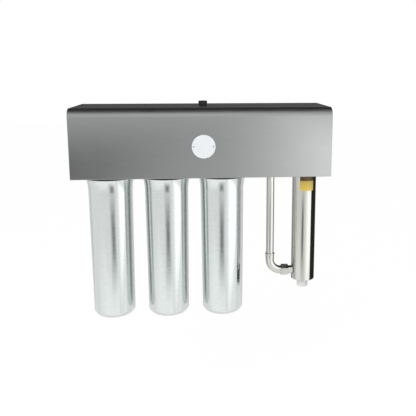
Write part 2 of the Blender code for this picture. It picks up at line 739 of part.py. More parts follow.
def make_head(number, x):
    """Moulded head: ports left and right, a screwed skirt, ribs, and pockets in its top."""
    at = (x, LINE_Y, 0)
    moulding = turned(head_outline(), HOUSING_SIDES, hollow=False)
    head = place(f"filter_head_{number}", moulding, "head_plastic", at)
    weld(head, along_x(drum(PORT_R, -PORT_REACH, PORT_REACH, FITTING_SIDES)), at)
    rib_top = HEAD_TOP - RIB_BELOW_TOP
    rib_low = -HEAD_SEAL_DROP + SKIRT_HEIGHT - RIB_ROOT
    for i in range(RIB_COUNT):
        angle = math.tau * (i + 0.5) / RIB_COUNT
        inner, outer = HEAD_R - RIB_THICK, SKIRT_R - RIB_THICK / 2
        rib = block((inner, -RIB_THICK / 2, rib_low), (outer, RIB_THICK / 2, rib_top))
        weld(head, rib, at, (0, 0, angle))
    for side in (-1, 1):
        ends = sorted((side * (PORT_REACH - PORT_THREAD_DEPTH), side * (PORT_REACH + CUT_OVER)))
        cut(head, along_x(drum(clear(THREAD_R, FITTING_SIDES), *ends, FITTING_SIDES)), at)
    port_floor = PORT_REACH - PORT_THREAD_DEPTH + CUT_OVER
    over = WATERWAY_R / 3
    cut(head, along_x(drum(WATERWAY_R, -port_floor, INTAKE_R + over - INTAKE_REACH, BORE_SIDES)), at)
    cut(head, along_x(drum(WATERWAY_R, -SPIGOT_BORE_R - over, port_floor, BORE_SIDES)), at)
    cut(head, drum(INTAKE_R, HEAD_BOWL_TOP - CUT_OVER, over, BORE_SIDES), (x - INTAKE_REACH, LINE_Y, 0))
    spigot_foot = HEAD_BOWL_TOP - SPIGOT_LENGTH
    cut(head, drum(SPIGOT_BORE_R, spigot_foot - CUT_OVER, over, BORE_SIDES), at)
    stem_foot = HEAD_TOP + BUTTON_STAND - BUTTON_STEM_LENGTH - BUTTON_TRAVEL - SLIP_GAP
    cut(head, drum(clear(BUTTON_STEM_R, SCREW_SIDES), stem_foot, HEAD_TOP + CUT_OVER, SCREW_SIDES), at)
    for dx, dy in screw_places():
        foot = SHELF_TOP + SEAT_GAP - SCREW_LENGTH - SLIP_GAP
        hole = drum(clear(SCREW_R, SCREW_SIDES), foot, HEAD_TOP + CUT_OVER, SCREW_SIDES)
        cut(head, hole, (x + dx, LINE_Y + dy, 0))


def make_button(number, x):
    """Relief button: a domed cap on a thin stem."""
    low = BUTTON_STEM_LENGTH
    outline = [
        (0, low + BUTTON_HEIGHT),
        (BUTTON_R * BUTTON_CROWN_SHARE, low + BUTTON_HEIGHT - BUTTON_DOME * BUTTON_SHOULDER_SHARE),
        (BUTTON_R, low + BUTTON_HEIGHT - BUTTON_DOME),
        (BUTTON_R, low),
        (BUTTON_STEM_R, low),
        (BUTTON_STEM_R, 0),
        (0, 0),
    ]
    foot = HEAD_TOP + BUTTON_STAND - BUTTON_STEM_LENGTH
    at = (x, LINE_Y, foot)
    place(f"relief_button_{number}", turned(outline, BORE_SIDES, hollow=False), "button_plastic", at)


def make_head_screws(number, x):
    """Four hexagon screws down through the shelf into the head."""
    seat = SHELF_TOP + SEAT_GAP
    for i, (dx, dy) in enumerate(screw_places(), 1):
        at = (x + dx, LINE_Y + dy, seat)
        head = hexagon(SCREW_HEAD_ACROSS, 0, SCREW_HEAD_HEIGHT)
        screw = place(f"head_screw_{number}_{i}", head, "zinc_steel", at)
        weld(screw, drum(SCREW_R, -SCREW_LENGTH, SCREW_HEAD_HEIGHT / 2, SCREW_SIDES), at)


def wall_under_rim():
    """Radius of a sump's wall where its rim stands out."""
    return SUMP_NECK_R + flare_at(FLARE_HEIGHT - RIM_THICK)


def sump_outline():
    """Half section of a sump, from the floor inside, up over the rim and down the outside."""
    rim_low = RIM_TOP - RIM_THICK
    corner = (SUMP_FOOT_R - SUMP_CORNER_R, SUMP_FOOT + SUMP_CROWN + SUMP_CORNER_R)
    rises = [FLARE_HEIGHT * share for share in FLARE_SHARES]
    flare = [(SUMP_NECK_R + flare_at(rise), FLARE_FOOT + rise) for rise in rises]
    inner = [(0, SUMP_FOOT + SUMP_WALL), (SUMP_FLAT_R, SUMP_FOOT + SUMP_WALL)]
    inner += arc(corner, SUMP_CORNER_R - SUMP_WALL, -90, 0, SUMP_CORNER_STEPS - 2)
    inner += [(radius - SUMP_WALL, height) for radius, height in flare]
    inner.append((wall_under_rim() - SUMP_WALL, RIM_TOP))
    outer = [(RIM_R, RIM_TOP), (RIM_R, rim_low), (wall_under_rim(), rim_low)]
    outer += reversed(flare)
    outer += arc(corner, SUMP_CORNER_R, 0, -90, SUMP_CORNER_STEPS)
    outer += [(SUMP_FLAT_R, SUMP_FOOT), (0, SUMP_FOOT)]
    return inner + outer


def flare_at(height):
    """How far the flare stands out, at a height above where it starts."""
    return FLARE_R - math.sqrt(FLARE_R**2 - height**2)


def make_sump(number, drop):
    """Deep-drawn steel sump with a flared neck and a rolled rim."""
    outline = [(radius, height - RIM_TOP) for radius, height in sump_outline()]
    bm = turned(outline, HOUSING_SIDES, hollow=False)
    place(f"sump_{number}", bm, "polished_steel", (drop.location.x, LINE_Y, RIM_TOP), drop)


def make_seal(number, drop):
    height = RIM_TOP + SEAT_GAP + SEAL_SECTION_R
    section = arc((SEAL_R, 0), SEAL_SECTION_R, 0, -360, SEAL_FACETS)[:-1]
    at = (drop.location.x, LINE_Y, height)
    place(f"sump_seal_{number}", turned(section, HOUSING_SIDES), "seal_rubber", at, drop)


def make_lock_ring(number, drop):
    """Collar with an inner lip under the sump's rim, screwed up over the head's skirt."""
    lip_top = RIM_TOP - RIM_THICK - SEAT_GAP
    low = lip_top - RING_LIP_THICK
    high = low + RING_HEIGHT
    sides = RING_RIBS * 2
    bore = clear(SKIRT_R, sides)
    lip_bore = clear(wall_under_rim(), sides)

    def ring(radius, height, rib):
        points = []
        for i in range(sides):
            angle = math.tau * i / sides
            r = radius + (rib if i % 2 else 0)
            points.append((r * math.cos(angle), r * math.sin(angle), height - low))
        return points

    rings = [
        ring(lip_bore, low, 0),
        ring(RING_R - RING_CHAMFER, low, 0),
        ring(RING_R, low + RING_CHAMFER * 2, RING_RIB_HEIGHT),
        ring(RING_R, high - RING_CHAMFER * 2, RING_RIB_HEIGHT),
        ring(RING_R - RING_CHAMFER, high, 0),
        ring(bore, high, 0),
        ring(bore, lip_top, 0),
        ring(lip_bore, lip_top, 0),
    ]
    at = (drop.location.x, LINE_Y, low)
    place(f"lock_ring_{number}", stack_rings(rings, closed=True), "ring_plastic", at, drop)


def cartridge_span():
    """Heights of the media's foot and top, between the foot peg and the head's spigot."""
    foot = SUMP_FOOT + SUMP_WALL + SEAT_GAP + FOOT_PEG_LENGTH + END_CAP_FLOOR + SEAT_GAP
    top = HEAD_BOWL_TOP - SPIGOT_LENGTH - SEAT_GAP - END_CAP_FLOOR - SEAT_GAP
    return foot, top


def make_cartridge(number, drop, pleated):
    """Hollow filter media with a moulded cap at each end."""
    x = drop.location.x
    foot, top = cartridge_span()
    count = PLEATS * 2

    def ring(outer, inner, height):
        points = []
        for i in range(count):
            angle = math.tau * i / count
            r = inner if i % 2 else outer
            points.append((r * math.cos(angle), r * math.sin(angle), height - foot))
        return points

    if pleated:
        valley = CARTRIDGE_R - PLEAT_DEPTH
        rings = [
            ring(CARTRIDGE_CORE_R, CARTRIDGE_CORE_R, top),
            ring(CARTRIDGE_R, valley, top),
            ring(CARTRIDGE_R, valley, foot),
            ring(CARTRIDGE_CORE_R, CARTRIDGE_CORE_R, foot),
        ]
        media, surface = stack_rings(rings, closed=True), "pleated_paper"
    else:
        outer = [(CARTRIDGE_R, top - foot), (CARTRIDGE_R, 0)]
        inner = [(CARTRIDGE_CORE_R, 0), (CARTRIDGE_CORE_R, top - foot)]
        media, surface = turned(outer + inner, CARTRIDGE_SIDES), "carbon_wrap"
    place(f"cartridge_media_{number}", media, surface, (x, LINE_Y, foot), drop)

    wall_bore = clear(CARTRIDGE_R, CARTRIDGE_SIDES)
    upper = [
        (END_CAP_R, END_CAP_FLOOR + SEAT_GAP),
        (END_CAP_R, -END_CAP_RIM),
        (wall_bore, -END_CAP_RIM),
        (wall_bore, SEAT_GAP),
        (SPIGOT_BORE_R, SEAT_GAP),
        (SPIGOT_BORE_R, SEAT_GAP + END_CAP_FLOOR),
    ]
    cap = turned(upper, CARTRIDGE_SIDES)
    place(f"cartridge_top_cap_{number}", cap, "cap_plastic", (x, LINE_Y, top), drop)
    lower = [
        (0, -SEAT_GAP),
        (wall_bore, -SEAT_GAP),
        (wall_bore, END_CAP_RIM),
        (END_CAP_R, END_CAP_RIM),
        (END_CAP_R, -SEAT_GAP - END_CAP_FLOOR),
        (FOOT_PEG_R, -SEAT_GAP - END_CAP_FLOOR),
        (FOOT_PEG_R, -SEAT_GAP - END_CAP_FLOOR - FOOT_PEG_LENGTH),
        (0, -SEAT_GAP - END_CAP_FLOOR - FOOT_PEG_LENGTH),
    ]
    cap = turned(lower, CARTRIDGE_SIDES, hollow=False)
    place(f"cartridge_foot_cap_{number}", cap, "cap_plastic", (x, LINE_Y, foot), drop)


def make_link_nipples():
    """Short threaded nipples that join each head to the next."""
    for number, x in enumerate(HOUSING_XS[:-1], 1):
        at = (x + HOUSING_PITCH / 2, LINE_Y, 0)
        half = LINK_GAP / 2 + THREAD_LENGTH
        tube = along_x(turned(nipple_section(-half, half), FITTING_SIDES))
        nipple = place(f"link_nipple_{number}", tube, "polished_steel", at)
        hex_half = LINK_GAP / 2 - SEAT_GAP
        weld(nipple, along_x(hexagon(NIPPLE_HEX, -hex_half, hex_half)), at)
        cut(nipple, along_x(drum(NIPPLE_BORE_R, -half, half, FITTING_SIDES)), at)


def nipple_section(low, high):
    """Half section of a threaded tube along its axis."""
    return [(THREAD_R, high), (THREAD_R, low), (NIPPLE_BORE_R, low), (NIPPLE_BORE_R, high)]


def make_inlet_nipple():
    """Threaded stub out of the first head, through the cover's left cheek."""
    length = PORT_FACE_X + FIRST_PORT_X
    at = (FIRST_PORT_X, LINE_Y, 0)
    tube = along_x(turned(nipple_section(-length, THREAD_LENGTH), FITTING_SIDES))
    nipple = place("inlet_nipple", tube, "polished_steel", at)
    weld(nipple, along_x(hexagon(NIPPLE_HEX, -SEAT_GAP - NIPPLE_HEX_LENGTH, -SEAT_GAP)), at)
    bore = drum(NIPPLE_BORE_R, -length - CUT_OVER, THREAD_LENGTH + CUT_OVER, FITTING_SIDES)
    cut(nipple, along_x(bore), at)


def elbow_route(start, first, second, straight):
    """Walks an L: straight on, round a quarter bend, then straight. Gives point and heading."""
    start, first, second = Vector(start), Vector(first), Vector(second)
    quarter = ELBOW_BEND_R * math.pi / 2

    def walk(distance):
        if distance <= straight:
            return start + first * distance, first
        if distance >= straight + quarter:
            corner = start + first * (straight + ELBOW_BEND_R) + second * ELBOW_BEND_R
            return corner + second * (distance - straight - quarter), second
        turn = (distance - straight) / ELBOW_BEND_R
        ahead = first * (straight + ELBOW_BEND_R * math.sin(turn))
        aside = second * (ELBOW_BEND_R * (1 - math.cos(turn)))
        return start + ahead + aside, first * math.cos(turn) + second * math.sin(turn)

    bend = [straight + quarter * i / ELBOW_STEPS for i in range(1, ELBOW_STEPS)]
    return walk, straight + quarter, bend


def swept(walk, outside, inside, sides):
    """A tube along a route from (distance, radius) stations, out along its outside and back inside."""
    side = walk(0)[1].cross(walk(outside[-1][0])[1]).normalized()
    rings = []
    for distance, radius in outside + list(reversed(inside)):
        point, heading = walk(distance)
        up = heading.cross(side)
        ring = []
        for i in range(sides):
            angle = math.tau * i / sides
            ring.append(point + (side * math.cos(angle) + up * math.sin(angle)) * radius)
        rings.append(ring)
    return stack_rings(rings, closed=True)


def socket_bore():
    return clear(PIPE_R, PIPE_SIDES)


def bead_stations(middle):
    """The rounded bead of a press socket, as stations round its middle."""
    spine = socket_bore() + SOCKET_WALL
    angles = [math.pi * i / BEAD_STEPS for i in range(BEAD_STEPS + 1)]
    return [(middle - BEAD_HALF * math.cos(a), spine + BEAD_RISE * math.sin(a)) for a in angles]


def make_outlet_elbow():
    """Elbow screwed into the last head, with a press socket down onto the pipe."""
    start = (LAST_PORT_X - THREAD_LENGTH, LINE_Y, 0)
    straight = DOWN_PIPE_X - ELBOW_BEND_R - start[0]
    walk, turn_end, bend = elbow_route(start, (1, 0, 0), (0, 0, -1), straight)
    collar_end = THREAD_LENGTH + SEAT_GAP + NIPPLE_HEX_LENGTH
    socket_r = socket_bore() + SOCKET_WALL
    bore_r = ELBOW_R - ELBOW_WALL
    end = turn_end + SOCKET_DEPTH + BEAD_HALF
    outside = [(0, THREAD_R), (THREAD_LENGTH + SEAT_GAP, THREAD_R)]
    outside += [(THREAD_LENGTH + SEAT_GAP, COLLAR_R), (collar_end, COLLAR_R), (collar_end, ELBOW_R)]
    outside += [(straight, ELBOW_R)] + [(s, ELBOW_R) for s in bend] + [(turn_end, ELBOW_R)]
    outside += [(turn_end + SEAT_GAP, socket_r)] + bead_stations(turn_end + SOCKET_DEPTH)
    inside = [(0, bore_r), (straight, bore_r)] + [(s, bore_r) for s in bend]
    inside += [(turn_end, bore_r), (turn_end, socket_bore()), (end, socket_bore())]
    tube = shifted(swept(walk, outside, inside, PIPE_SIDES), start)
    place("outlet_elbow", tube, "polished_steel", start)
    return walk(turn_end)[0].z


def shifted(bm, origin):
    """Moves a mesh modelled in world coordinates so that it sits round an origin."""
    bmesh.ops.translate(bm, vec=-Vector(origin), verts=bm.verts)
    return bm


def make_lower_elbow():
    """Elbow at the pipe's foot, with a press socket up and a flanged tail to the union."""
    tail_end = UNION_X + UNION_LIP + SEAT_GAP + TAIL_FLANGE_THICK
    bend_start = INLET_Z + ELBOW_BEND_R
    start = (DOWN_PIPE_X, LINE_Y, bend_start + SOCKET_DEPTH + BEAD_HALF)
    straight = SOCKET_DEPTH + BEAD_HALF
    walk, turn_end, bend = elbow_route(start, (0, 0, -1), (1, 0, 0), straight)
    socket_r = socket_bore() + SOCKET_WALL
    bore_r = ELBOW_R - ELBOW_WALL
    end = turn_end + tail_end - (DOWN_PIPE_X + ELBOW_BEND_R)
    flange = end - TAIL_FLANGE_THICK
    outside = bead_stations(BEAD_HALF) + [(straight - SEAT_GAP, socket_r), (straight, ELBOW_R)]
    outside += [(s, ELBOW_R) for s in bend] + [(turn_end, ELBOW_R)]
    outside += [(flange, ELBOW_R), (flange, TAIL_FLANGE_R), (end, TAIL_FLANGE_R)]
    inside = [(0, socket_bore()), (straight, socket_bore()), (straight, bore_r)]
    inside += [(s, bore_r) for s in bend] + [(turn_end, bore_r), (end, bore_r)]
    at = (DOWN_PIPE_X, LINE_Y, INLET_Z)
    place("lower_elbow", shifted(swept(walk, outside, inside, PIPE_SIDES), at), "polished_steel", at)
    return bend_start, tail_end


def make_down_pipe(high, low):
    """Plain pipe pushed into both press sockets."""
    section = [(PIPE_R, high), (PIPE_R, low), (PIPE_R - PIPE_WALL, low), (PIPE_R - PIPE_WALL, high)]
    section = [(radius, height - low) for radius, height in section]
    place("down_pipe", turned(section, PIPE_SIDES), "polished_steel", (DOWN_PIPE_X, LINE_Y, low))


def make_union_nut():
    """Hexagon nut that draws the tail's flange against the chamber's neck."""
    at = (UNION_X, LINE_Y, INLET_Z)
    nut = place("union_nut", along_x(hexagon(UNION_ACROSS, 0, UNION_LENGTH)), "polished_steel", at)
    passage = drum(clear(ELBOW_R, PIPE_SIDES), -CUT_OVER, UNION_LIP + CUT_OVER, PIPE_SIDES)
    cut(nut, along_x(passage), at)
    thread = drum(clear(NECK_THREAD_R, PIPE_SIDES), UNION_LIP, UNION_LENGTH + CUT_OVER, PIPE_SIDES)
    cut(nut, along_x(thread), at)


def make_chamber(tail_end):
    """Steel tube with end plates, a screwed neck at its foot, an outlet and two bosses."""
    foot, top = CHAMBER_FOOT, CHAMBER_TOP
    outside = [
        (GLAND_BORE_R, top + GLAND_BOSS_HEIGHT),
        (GLAND_BOSS_R, top + GLAND_BOSS_HEIGHT),
        (GLAND_BOSS_R, top),
        (CHAMBER_R - CHAMBER_EDGE, top),
        (CHAMBER_R, top - CHAMBER_EDGE),
        (CHAMBER_R, foot + CHAMBER_EDGE),
        (CHAMBER_R - CHAMBER_EDGE, foot),
        (GLAND_BOSS_R, foot),
        (GLAND_BOSS_R, foot - GLAND_BOSS_HEIGHT),
        (GLAND_BORE_R, foot - GLAND_BOSS_HEIGHT),
    ]
    inner_r = CHAMBER_R - CHAMBER_WALL
    inside = [
        (GLAND_BORE_R, foot + CHAMBER_END_THICK),
        (inner_r, foot + CHAMBER_END_THICK),
        (inner_r, top - CHAMBER_END_THICK),
        (GLAND_BORE_R, top - CHAMBER_END_THICK),
    ]
    at = (CHAMBER_X, LINE_Y, 0)
    chamber = place("uv_chamber", turned(outside + inside, CHAMBER_SIDES), "polished_steel", at)
    neck_end = tail_end + SEAT_GAP - CHAMBER_X
    thread_end = neck_end + NECK_THREAD_LENGTH
    into = CHAMBER_R - CHAMBER_WALL * 2
    neck_at = (CHAMBER_X, LINE_Y, INLET_Z)
    neck = [
        (0, -into),
        (NECK_R, -into),
        (NECK_R, thread_end),
        (NECK_THREAD_R, thread_end),
        (NECK_THREAD_R, neck_end),
        (0, neck_end),
    ]
    weld(chamber, along_x(turned(neck, PIPE_SIDES, hollow=False)), neck_at)
    cut(chamber, along_x(drum(NECK_BORE_R, neck_end - CUT_OVER, -into + CUT_OVER, PIPE_SIDES)), neck_at)
    outlet_end = PORT_FACE_X - CHAMBER_X
    weld(chamber, along_x(drum(THREAD_R, into, outlet_end, PIPE_SIDES)), at)
    cut(chamber, along_x(drum(NECK_BORE_R, into - CUT_OVER, outlet_end + CUT_OVER, PIPE_SIDES)), at)


def make_sleeve():
    """Quartz tube that keeps the lamp dry, open at both ends."""
    low = CHAMBER_FOOT - SLEEVE_STAND
    length = CHAMBER_LENGTH + 2 * SLEEVE_STAND
    bore = SLEEVE_R - SLEEVE_WALL
    section = [(SLEEVE_R, length), (SLEEVE_R, 0), (bore, 0), (bore, length)]
    place("quartz_sleeve", turned(section, SMALL_SIDES), "quartz_glass", (CHAMBER_X, LINE_Y, low))


def make_lamp():
    """Lamp tube with a ferrule at each end."""
    low = CHAMBER_FOOT + LAMP_FOOT_UP
    length = CHAMBER_TOP + LAMP_TOP_STAND - low
    outline = [
        (0, length),
        (LAMP_FERRULE_R, length),
        (LAMP_FERRULE_R, length - LAMP_FERRULE_LENGTH),
        (LAMP_R, length - LAMP_FERRULE_LENGTH),
        (LAMP_R, LAMP_FERRULE_LENGTH),
        (LAMP_FERRULE_R, LAMP_FERRULE_LENGTH),
        (LAMP_FERRULE_R, 0),
        (0, 0),
    ]
    tube = turned(outline, SMALL_SIDES, hollow=False)
    place("uv_lamp", tube, "white_plastic", (CHAMBER_X, LINE_Y, low))


def make_foot_cap():
    """Ribbed white cap screwed over the chamber's lower boss."""
    sides = FOOT_CAP_RIBS * 2
    bore = clear(GLAND_BOSS_R, sides)
    floor = -SLEEVE_STAND - SEAT_GAP
    top = -SEAT_GAP

    def ring(radius, height, rib):
        points = []
        for i in range(sides):
            angle = math.tau * i / sides
            r = radius - (rib if i % 2 else 0)
            points.append((r * math.cos(angle), r * math.sin(angle), height))
        return points

    low = -FOOT_CAP_LENGTH
    rings = [
        ring(bore, floor, 0),
        ring(bore, top, 0),
        ring(FOOT_CAP_R - FOOT_CAP_EDGE / 2, top, 0),
        ring(FOOT_CAP_R, top - FOOT_CAP_EDGE, FOOT_CAP_RIB_DEPTH),
        ring(FOOT_CAP_R, low + FOOT_CAP_EDGE * 2, FOOT_CAP_RIB_DEPTH),
        ring(FOOT_CAP_R - FOOT_CAP_EDGE, low, 0),
    ]
    cap = stack_rings(rings, closed=False)
    place("uv_foot_cap", cap, "white_plastic", (CHAMBER_X, LINE_Y, CHAMBER_FOOT))


def make_top_nut():
    """Hexagon gland nut over the chamber's upper boss, with a hole for the lamp."""
    at = (CHAMBER_X, LINE_Y, CHAMBER_TOP)
    nut = place("uv_top_nut", hexagon(TOP_NUT_ACROSS, SEAT_GAP, TOP_NUT_HEIGHT), "zinc_steel", at)
    roof = TOP_NUT_HEIGHT - TOP_NUT_ROOF
    cut(nut, drum(clear(GLAND_BOSS_R, PIPE_SIDES), -CUT_OVER, roof, PIPE_SIDES), at)
    cut(nut, drum(TOP_NUT_HOLE_R, roof - CUT_OVER, TOP_NUT_HEIGHT + CUT_OVER, SMALL_SIDES), at)


def socket_low():
    return CHAMBER_TOP + TOP_NUT_HEIGHT + SOCKET_CAP_ABOVE_NUT


def make_lamp_socket():
    """Moulded socket pushed over the lamp's upper end."""
    low = socket_low()
    bore = clear(LAMP_FERRULE_R, SMALL_SIDES)
    pocket = CHAMBER_TOP + LAMP_TOP_STAND - low + SEAT_GAP
    outline = [
        (0, SOCKET_CAP_LENGTH),
        (SOCKET_CAP_R - SOCKET_CAP_EDGE, SOCKET_CAP_LENGTH),
        (SOCKET_CAP_R, SOCKET_CAP_LENGTH - SOCKET_CAP_EDGE),
        (SOCKET_CAP_R, 0),
        (bore, 0),
        (bore, pocket),
        (0, pocket),
    ]
    cap = turned(outline, SMALL_SIDES, hollow=False)
    place("lamp_socket", cap, "white_plastic", (CHAMBER_X, LINE_Y, low))


def make_clamp():
    """Pipe clamp round the chamber, held off the wall bracket by a screwed rod on a foot."""
    at = (CHAMBER_X, LINE_Y, -CLAMP_DROP)
    bore = CHAMBER_R + SEAT_GAP
    outer = bore + CLAMP_THICK
    half = CLAMP_HEIGHT / 2
    section = [(outer, half), (outer, -half), (bore, -half), (bore, half)]
    clamp = place("chamber_clamp", turned(section, CHAMBER_SIDES), "zinc_steel", at)
    ear_half = CLAMP_EAR_THICK / 2
    for side in (-1, 1):
        near, far = sorted((side * (bore + CLAMP_THICK / 2), side * (outer + CLAMP_EAR_REACH)))
        weld(clamp, block((near, -ear_half, -half), (far, ear_half, half)), at)
    back = outer + CLAMP_NUT_LENGTH
    weld(clamp, along_y(drum(CLAMP_NUT_R, -back, -bore - CLAMP_THICK / 2, SMALL_SIDES)), at)
    tip_room = -back + CLAMP_ROD_IN_NUT + SEAT_GAP
    socket = drum(clear(CLAMP_ROD_R, SMALL_SIDES), -back - CUT_OVER, tip_room, SMALL_SIDES)
    cut(clamp, along_y(socket), at)
    plate = BRACKET_SHEET + SEAT_GAP
    foot_at = (CHAMBER_X, -plate, -CLAMP_DROP)
    side = CLAMP_FOOT_SIDE / 2
    low = min(side, BRACKET_DROP - CLAMP_DROP)
    foot = place(
        "clamp_rod",
        block((-side, -CLAMP_FOOT_THICK, -low), (side, 0, side)),
        "zinc_steel",
        foot_at,
    )
    tip = LINE_TO_WALL - plate - back + CLAMP_ROD_IN_NUT
    weld(foot, along_y(drum(CLAMP_ROD_R, CLAMP_FOOT_THICK / 2, tip, SMALL_SIDES)), foot_at)


def supply_gland_places():
    middle = -sum(SUPPLY_TO_WALL) / 2
    height = SHELF_TOP + SEAT_GAP + SUPPLY_GLAND_UP
    return (SUPPLY_LEFT, middle, height), (SUPPLY_RIGHT, middle, height)


def make_supply():
    """Lamp supply on the shelf: a ribbed case with a cable gland at either end."""
    near, far = -SUPPLY_TO_WALL[1], -SUPPLY_TO_WALL[0]
    low = SHELF_TOP + SEAT_GAP
    high = low + SUPPLY_HEIGHT
    case = block((SUPPLY_LEFT, near, low), (SUPPLY_RIGHT, far, high))
    bevel_edges(case, SUPPLY_EDGE, lambda edge: min(v.co.z for v in edge.verts) > low + WELD)
    middle = ((SUPPLY_LEFT + SUPPLY_RIGHT) / 2, (near + far) / 2, low)
    supply = place("lamp_supply", shifted(case, middle), "supply_plastic", middle)
    step = SUPPLY_LENGTH / (SUPPLY_RIBS + 1)
    for i in range(1, SUPPLY_RIBS + 1):
        x = SUPPLY_LEFT + step * i
        groove = block(
            (x - SUPPLY_RIB_WIDTH / 2, near - CUT_OVER, high - SUPPLY_RIB_DEPTH),
            (x + SUPPLY_RIB_WIDTH / 2, far + CUT_OVER, high + CUT_OVER),
        )
        cut(supply, groove)
    left, right = supply_gland_places()
    for place_at, side in ((left, -1), (right, 1)):
        ends = sorted((-side * SUPPLY_EDGE, side * SUPPLY_GLAND_LENGTH))
        weld(supply, along_x(drum(SUPPLY_GLAND_R, *ends, SMALL_SIDES)), place_at)


def make_lamp_lead():
    """Short lead from the supply up and over into the lamp's socket, as one tube."""
    gland = Vector(supply_gland_places()[1]) + Vector((SUPPLY_GLAND_LENGTH + SEAT_GAP, 0, 0))
    crown = socket_low() + SOCKET_CAP_LENGTH + SEAT_GAP
    socket = Vector((CHAMBER_X, LINE_Y, crown))
    way = socket - gland
    route = [gland, gland + Vector((LEAD_END_RUN, 0, 0))]
    for across, back, climb, peak in LEAD_ROUTE_SHARES:
        height = way.z * climb + LEAD_PEAK_ABOVE_SOCKET * peak
        route.append(gland + Vector((way.x * across, way.y * back, height)))
    route += [socket + Vector((0, 0, LEAD_END_RUN)), socket]
    points = smooth_route(route, LEAD_STEPS)
    curve = bpy.data.curves.new("lamp_lead", "CURVE")
    curve.dimensions = "3D"
    curve.bevel_depth = LEAD_R
    curve.bevel_resolution = 1
    curve.use_fill_caps = True
    spline = curve.splines.new("POLY")
    spline.points.add(len(points) - 1)
    for spot, point in zip(spline.points, points):
        spot.co = (*point, 1.0)
    curve.materials.append(finish("lead_rubber"))
    lead = bpy.data.objects.new("lamp_lead", curve)
    bpy.context.scene.collection.objects.link(lead)


def smooth_route(route, steps):
    """Points on a smooth curve through the route, which starts and ends straight."""
    points = []
    for i in range(len(route) - 1):
        before = route[max(i - 1, 0)]
        start, end = route[i], route[i + 1]
        after = route[min(i + 2, len(route) - 1)]
        straight = i in (0, len(route) - 2)
        for k in range(1 if straight else steps):
            t = 0 if straight else k / steps
            slope = (end - before) * t
            bend = (before * 2 - start * 5 + end * 4 - after) * t**2
            twist = (start * 3 - before - end * 3 + after) * t**3
            points.append(start + (slope + bend + twist) / 2)
    points.append(route[-1])
    return points


def build():
    clear_scene()
    make_bracket()
    make_post()
    lift = pivot("cover_lift", (0, COVER_FRONT, -COVER_DROP))
    make_cover(lift)
    make_badge(lift)
    make_knob(lift)
    for number, x in enumerate(HOUSING_XS, 1):
        drop = pivot(f"sump_drop_{number}", (x, LINE_Y, RIM_TOP))
        make_head(number, x)
        make_button(number, x)
        make_head_screws(number, x)
        make_sump(number, drop)
        make_seal(number, drop)
        make_lock_ring(number, drop)
        make_cartridge(number, drop, pleated=number == 1)
    make_link_nipples()
    make_inlet_nipple()
    pipe_top = make_outlet_elbow()
    pipe_foot, tail_end = make_lower_elbow()
    make_down_pipe(pipe_top - SEAT_GAP, pipe_foot + SEAT_GAP)
    make_union_nut()
    make_chamber(tail_end)
    make_sleeve()
    make_lamp()
    make_foot_cap()
    make_top_nut()
    make_lamp_socket()
    make_clamp()
    make_supply()
    make_lamp_lead()


build()
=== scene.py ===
"""Whole house water filter, dressed: shells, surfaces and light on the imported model.

Metres, +Z up, the front faces -Y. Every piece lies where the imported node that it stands
for lies. Run as a script, it models the pieces, gives the nodes that stay their surfaces,
builds a plain white studio and sets the camera.
"""

import math

import bmesh
import bpy
from bpy.props import FloatProperty, FloatVectorProperty, IntProperty, PointerProperty
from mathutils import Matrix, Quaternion, Vector


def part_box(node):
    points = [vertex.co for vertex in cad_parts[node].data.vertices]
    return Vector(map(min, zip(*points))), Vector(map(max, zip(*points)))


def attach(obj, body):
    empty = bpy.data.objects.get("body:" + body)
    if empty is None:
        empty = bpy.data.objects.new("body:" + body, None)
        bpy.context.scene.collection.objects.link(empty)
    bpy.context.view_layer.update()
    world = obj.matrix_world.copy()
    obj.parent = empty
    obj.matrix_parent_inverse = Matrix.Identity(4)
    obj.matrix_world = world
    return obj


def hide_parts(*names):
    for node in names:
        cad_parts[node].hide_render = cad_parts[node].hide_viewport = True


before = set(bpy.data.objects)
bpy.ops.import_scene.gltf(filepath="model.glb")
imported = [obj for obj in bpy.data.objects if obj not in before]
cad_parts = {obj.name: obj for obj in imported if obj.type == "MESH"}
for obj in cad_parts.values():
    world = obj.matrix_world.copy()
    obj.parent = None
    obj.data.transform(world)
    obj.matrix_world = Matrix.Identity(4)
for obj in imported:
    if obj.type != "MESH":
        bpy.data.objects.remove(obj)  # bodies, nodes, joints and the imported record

bl_info = {
    "name": "Wall Water Filter",
    "version": (1, 0, 0),
    "blender": (4, 5, 0),
    "location": "View3D > Sidebar > Water Filter",
    "description": "Models a wall-hung water filter on its packed frame and lights it",
    "category": "Object",
}

MM = 0.001
X, Y, Z = Vector((1, 0, 0)), Vector((0, 1, 0)), Vector((0, 0, 1))
HOUSINGS = (1, 2, 3)
SCREWS = (1, 2, 3, 4)
POLE = 0.05 * MM  # a point of an outline nearer its axis than this lies on it
STEP = 0.05 * MM  # length of a square step along a tube
OVER = 2 * MM  # how far a cutter runs past what it cuts
CLOSE = 0.02 * MM  # points nearer than this are one
SEAT = 0.3 * MM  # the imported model's gap between two pieces that touch
HEXAGON_TURN = math.pi / 6  # brings a hexagon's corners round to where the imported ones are
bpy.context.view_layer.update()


def linear(colour):
    """An sRGB hex colour as linear red, green and blue."""
    channels = [int(colour[i : i + 2], 16) / 255 for i in (0, 2, 4)]
    return [c / 12.92 if c <= 0.04045 else ((c + 0.055) / 1.055) ** 2.4 for c in channels]


def size(name, default, description):
    return FloatProperty(name=name, default=default, description=description, min=0, unit="LENGTH", precision=5)


def tint(name, default, description):
    return FloatVectorProperty(
        name=name, default=linear(default), description=description, size=3, min=0, max=1, subtype="COLOR"
    )


def level(name, default, description):
    return FloatProperty(name=name, default=default, description=description, min=0)


def number(name, default, description):
    return IntProperty(name=name, default=default, description=description, min=3)


# Sizes and colours that a user would change


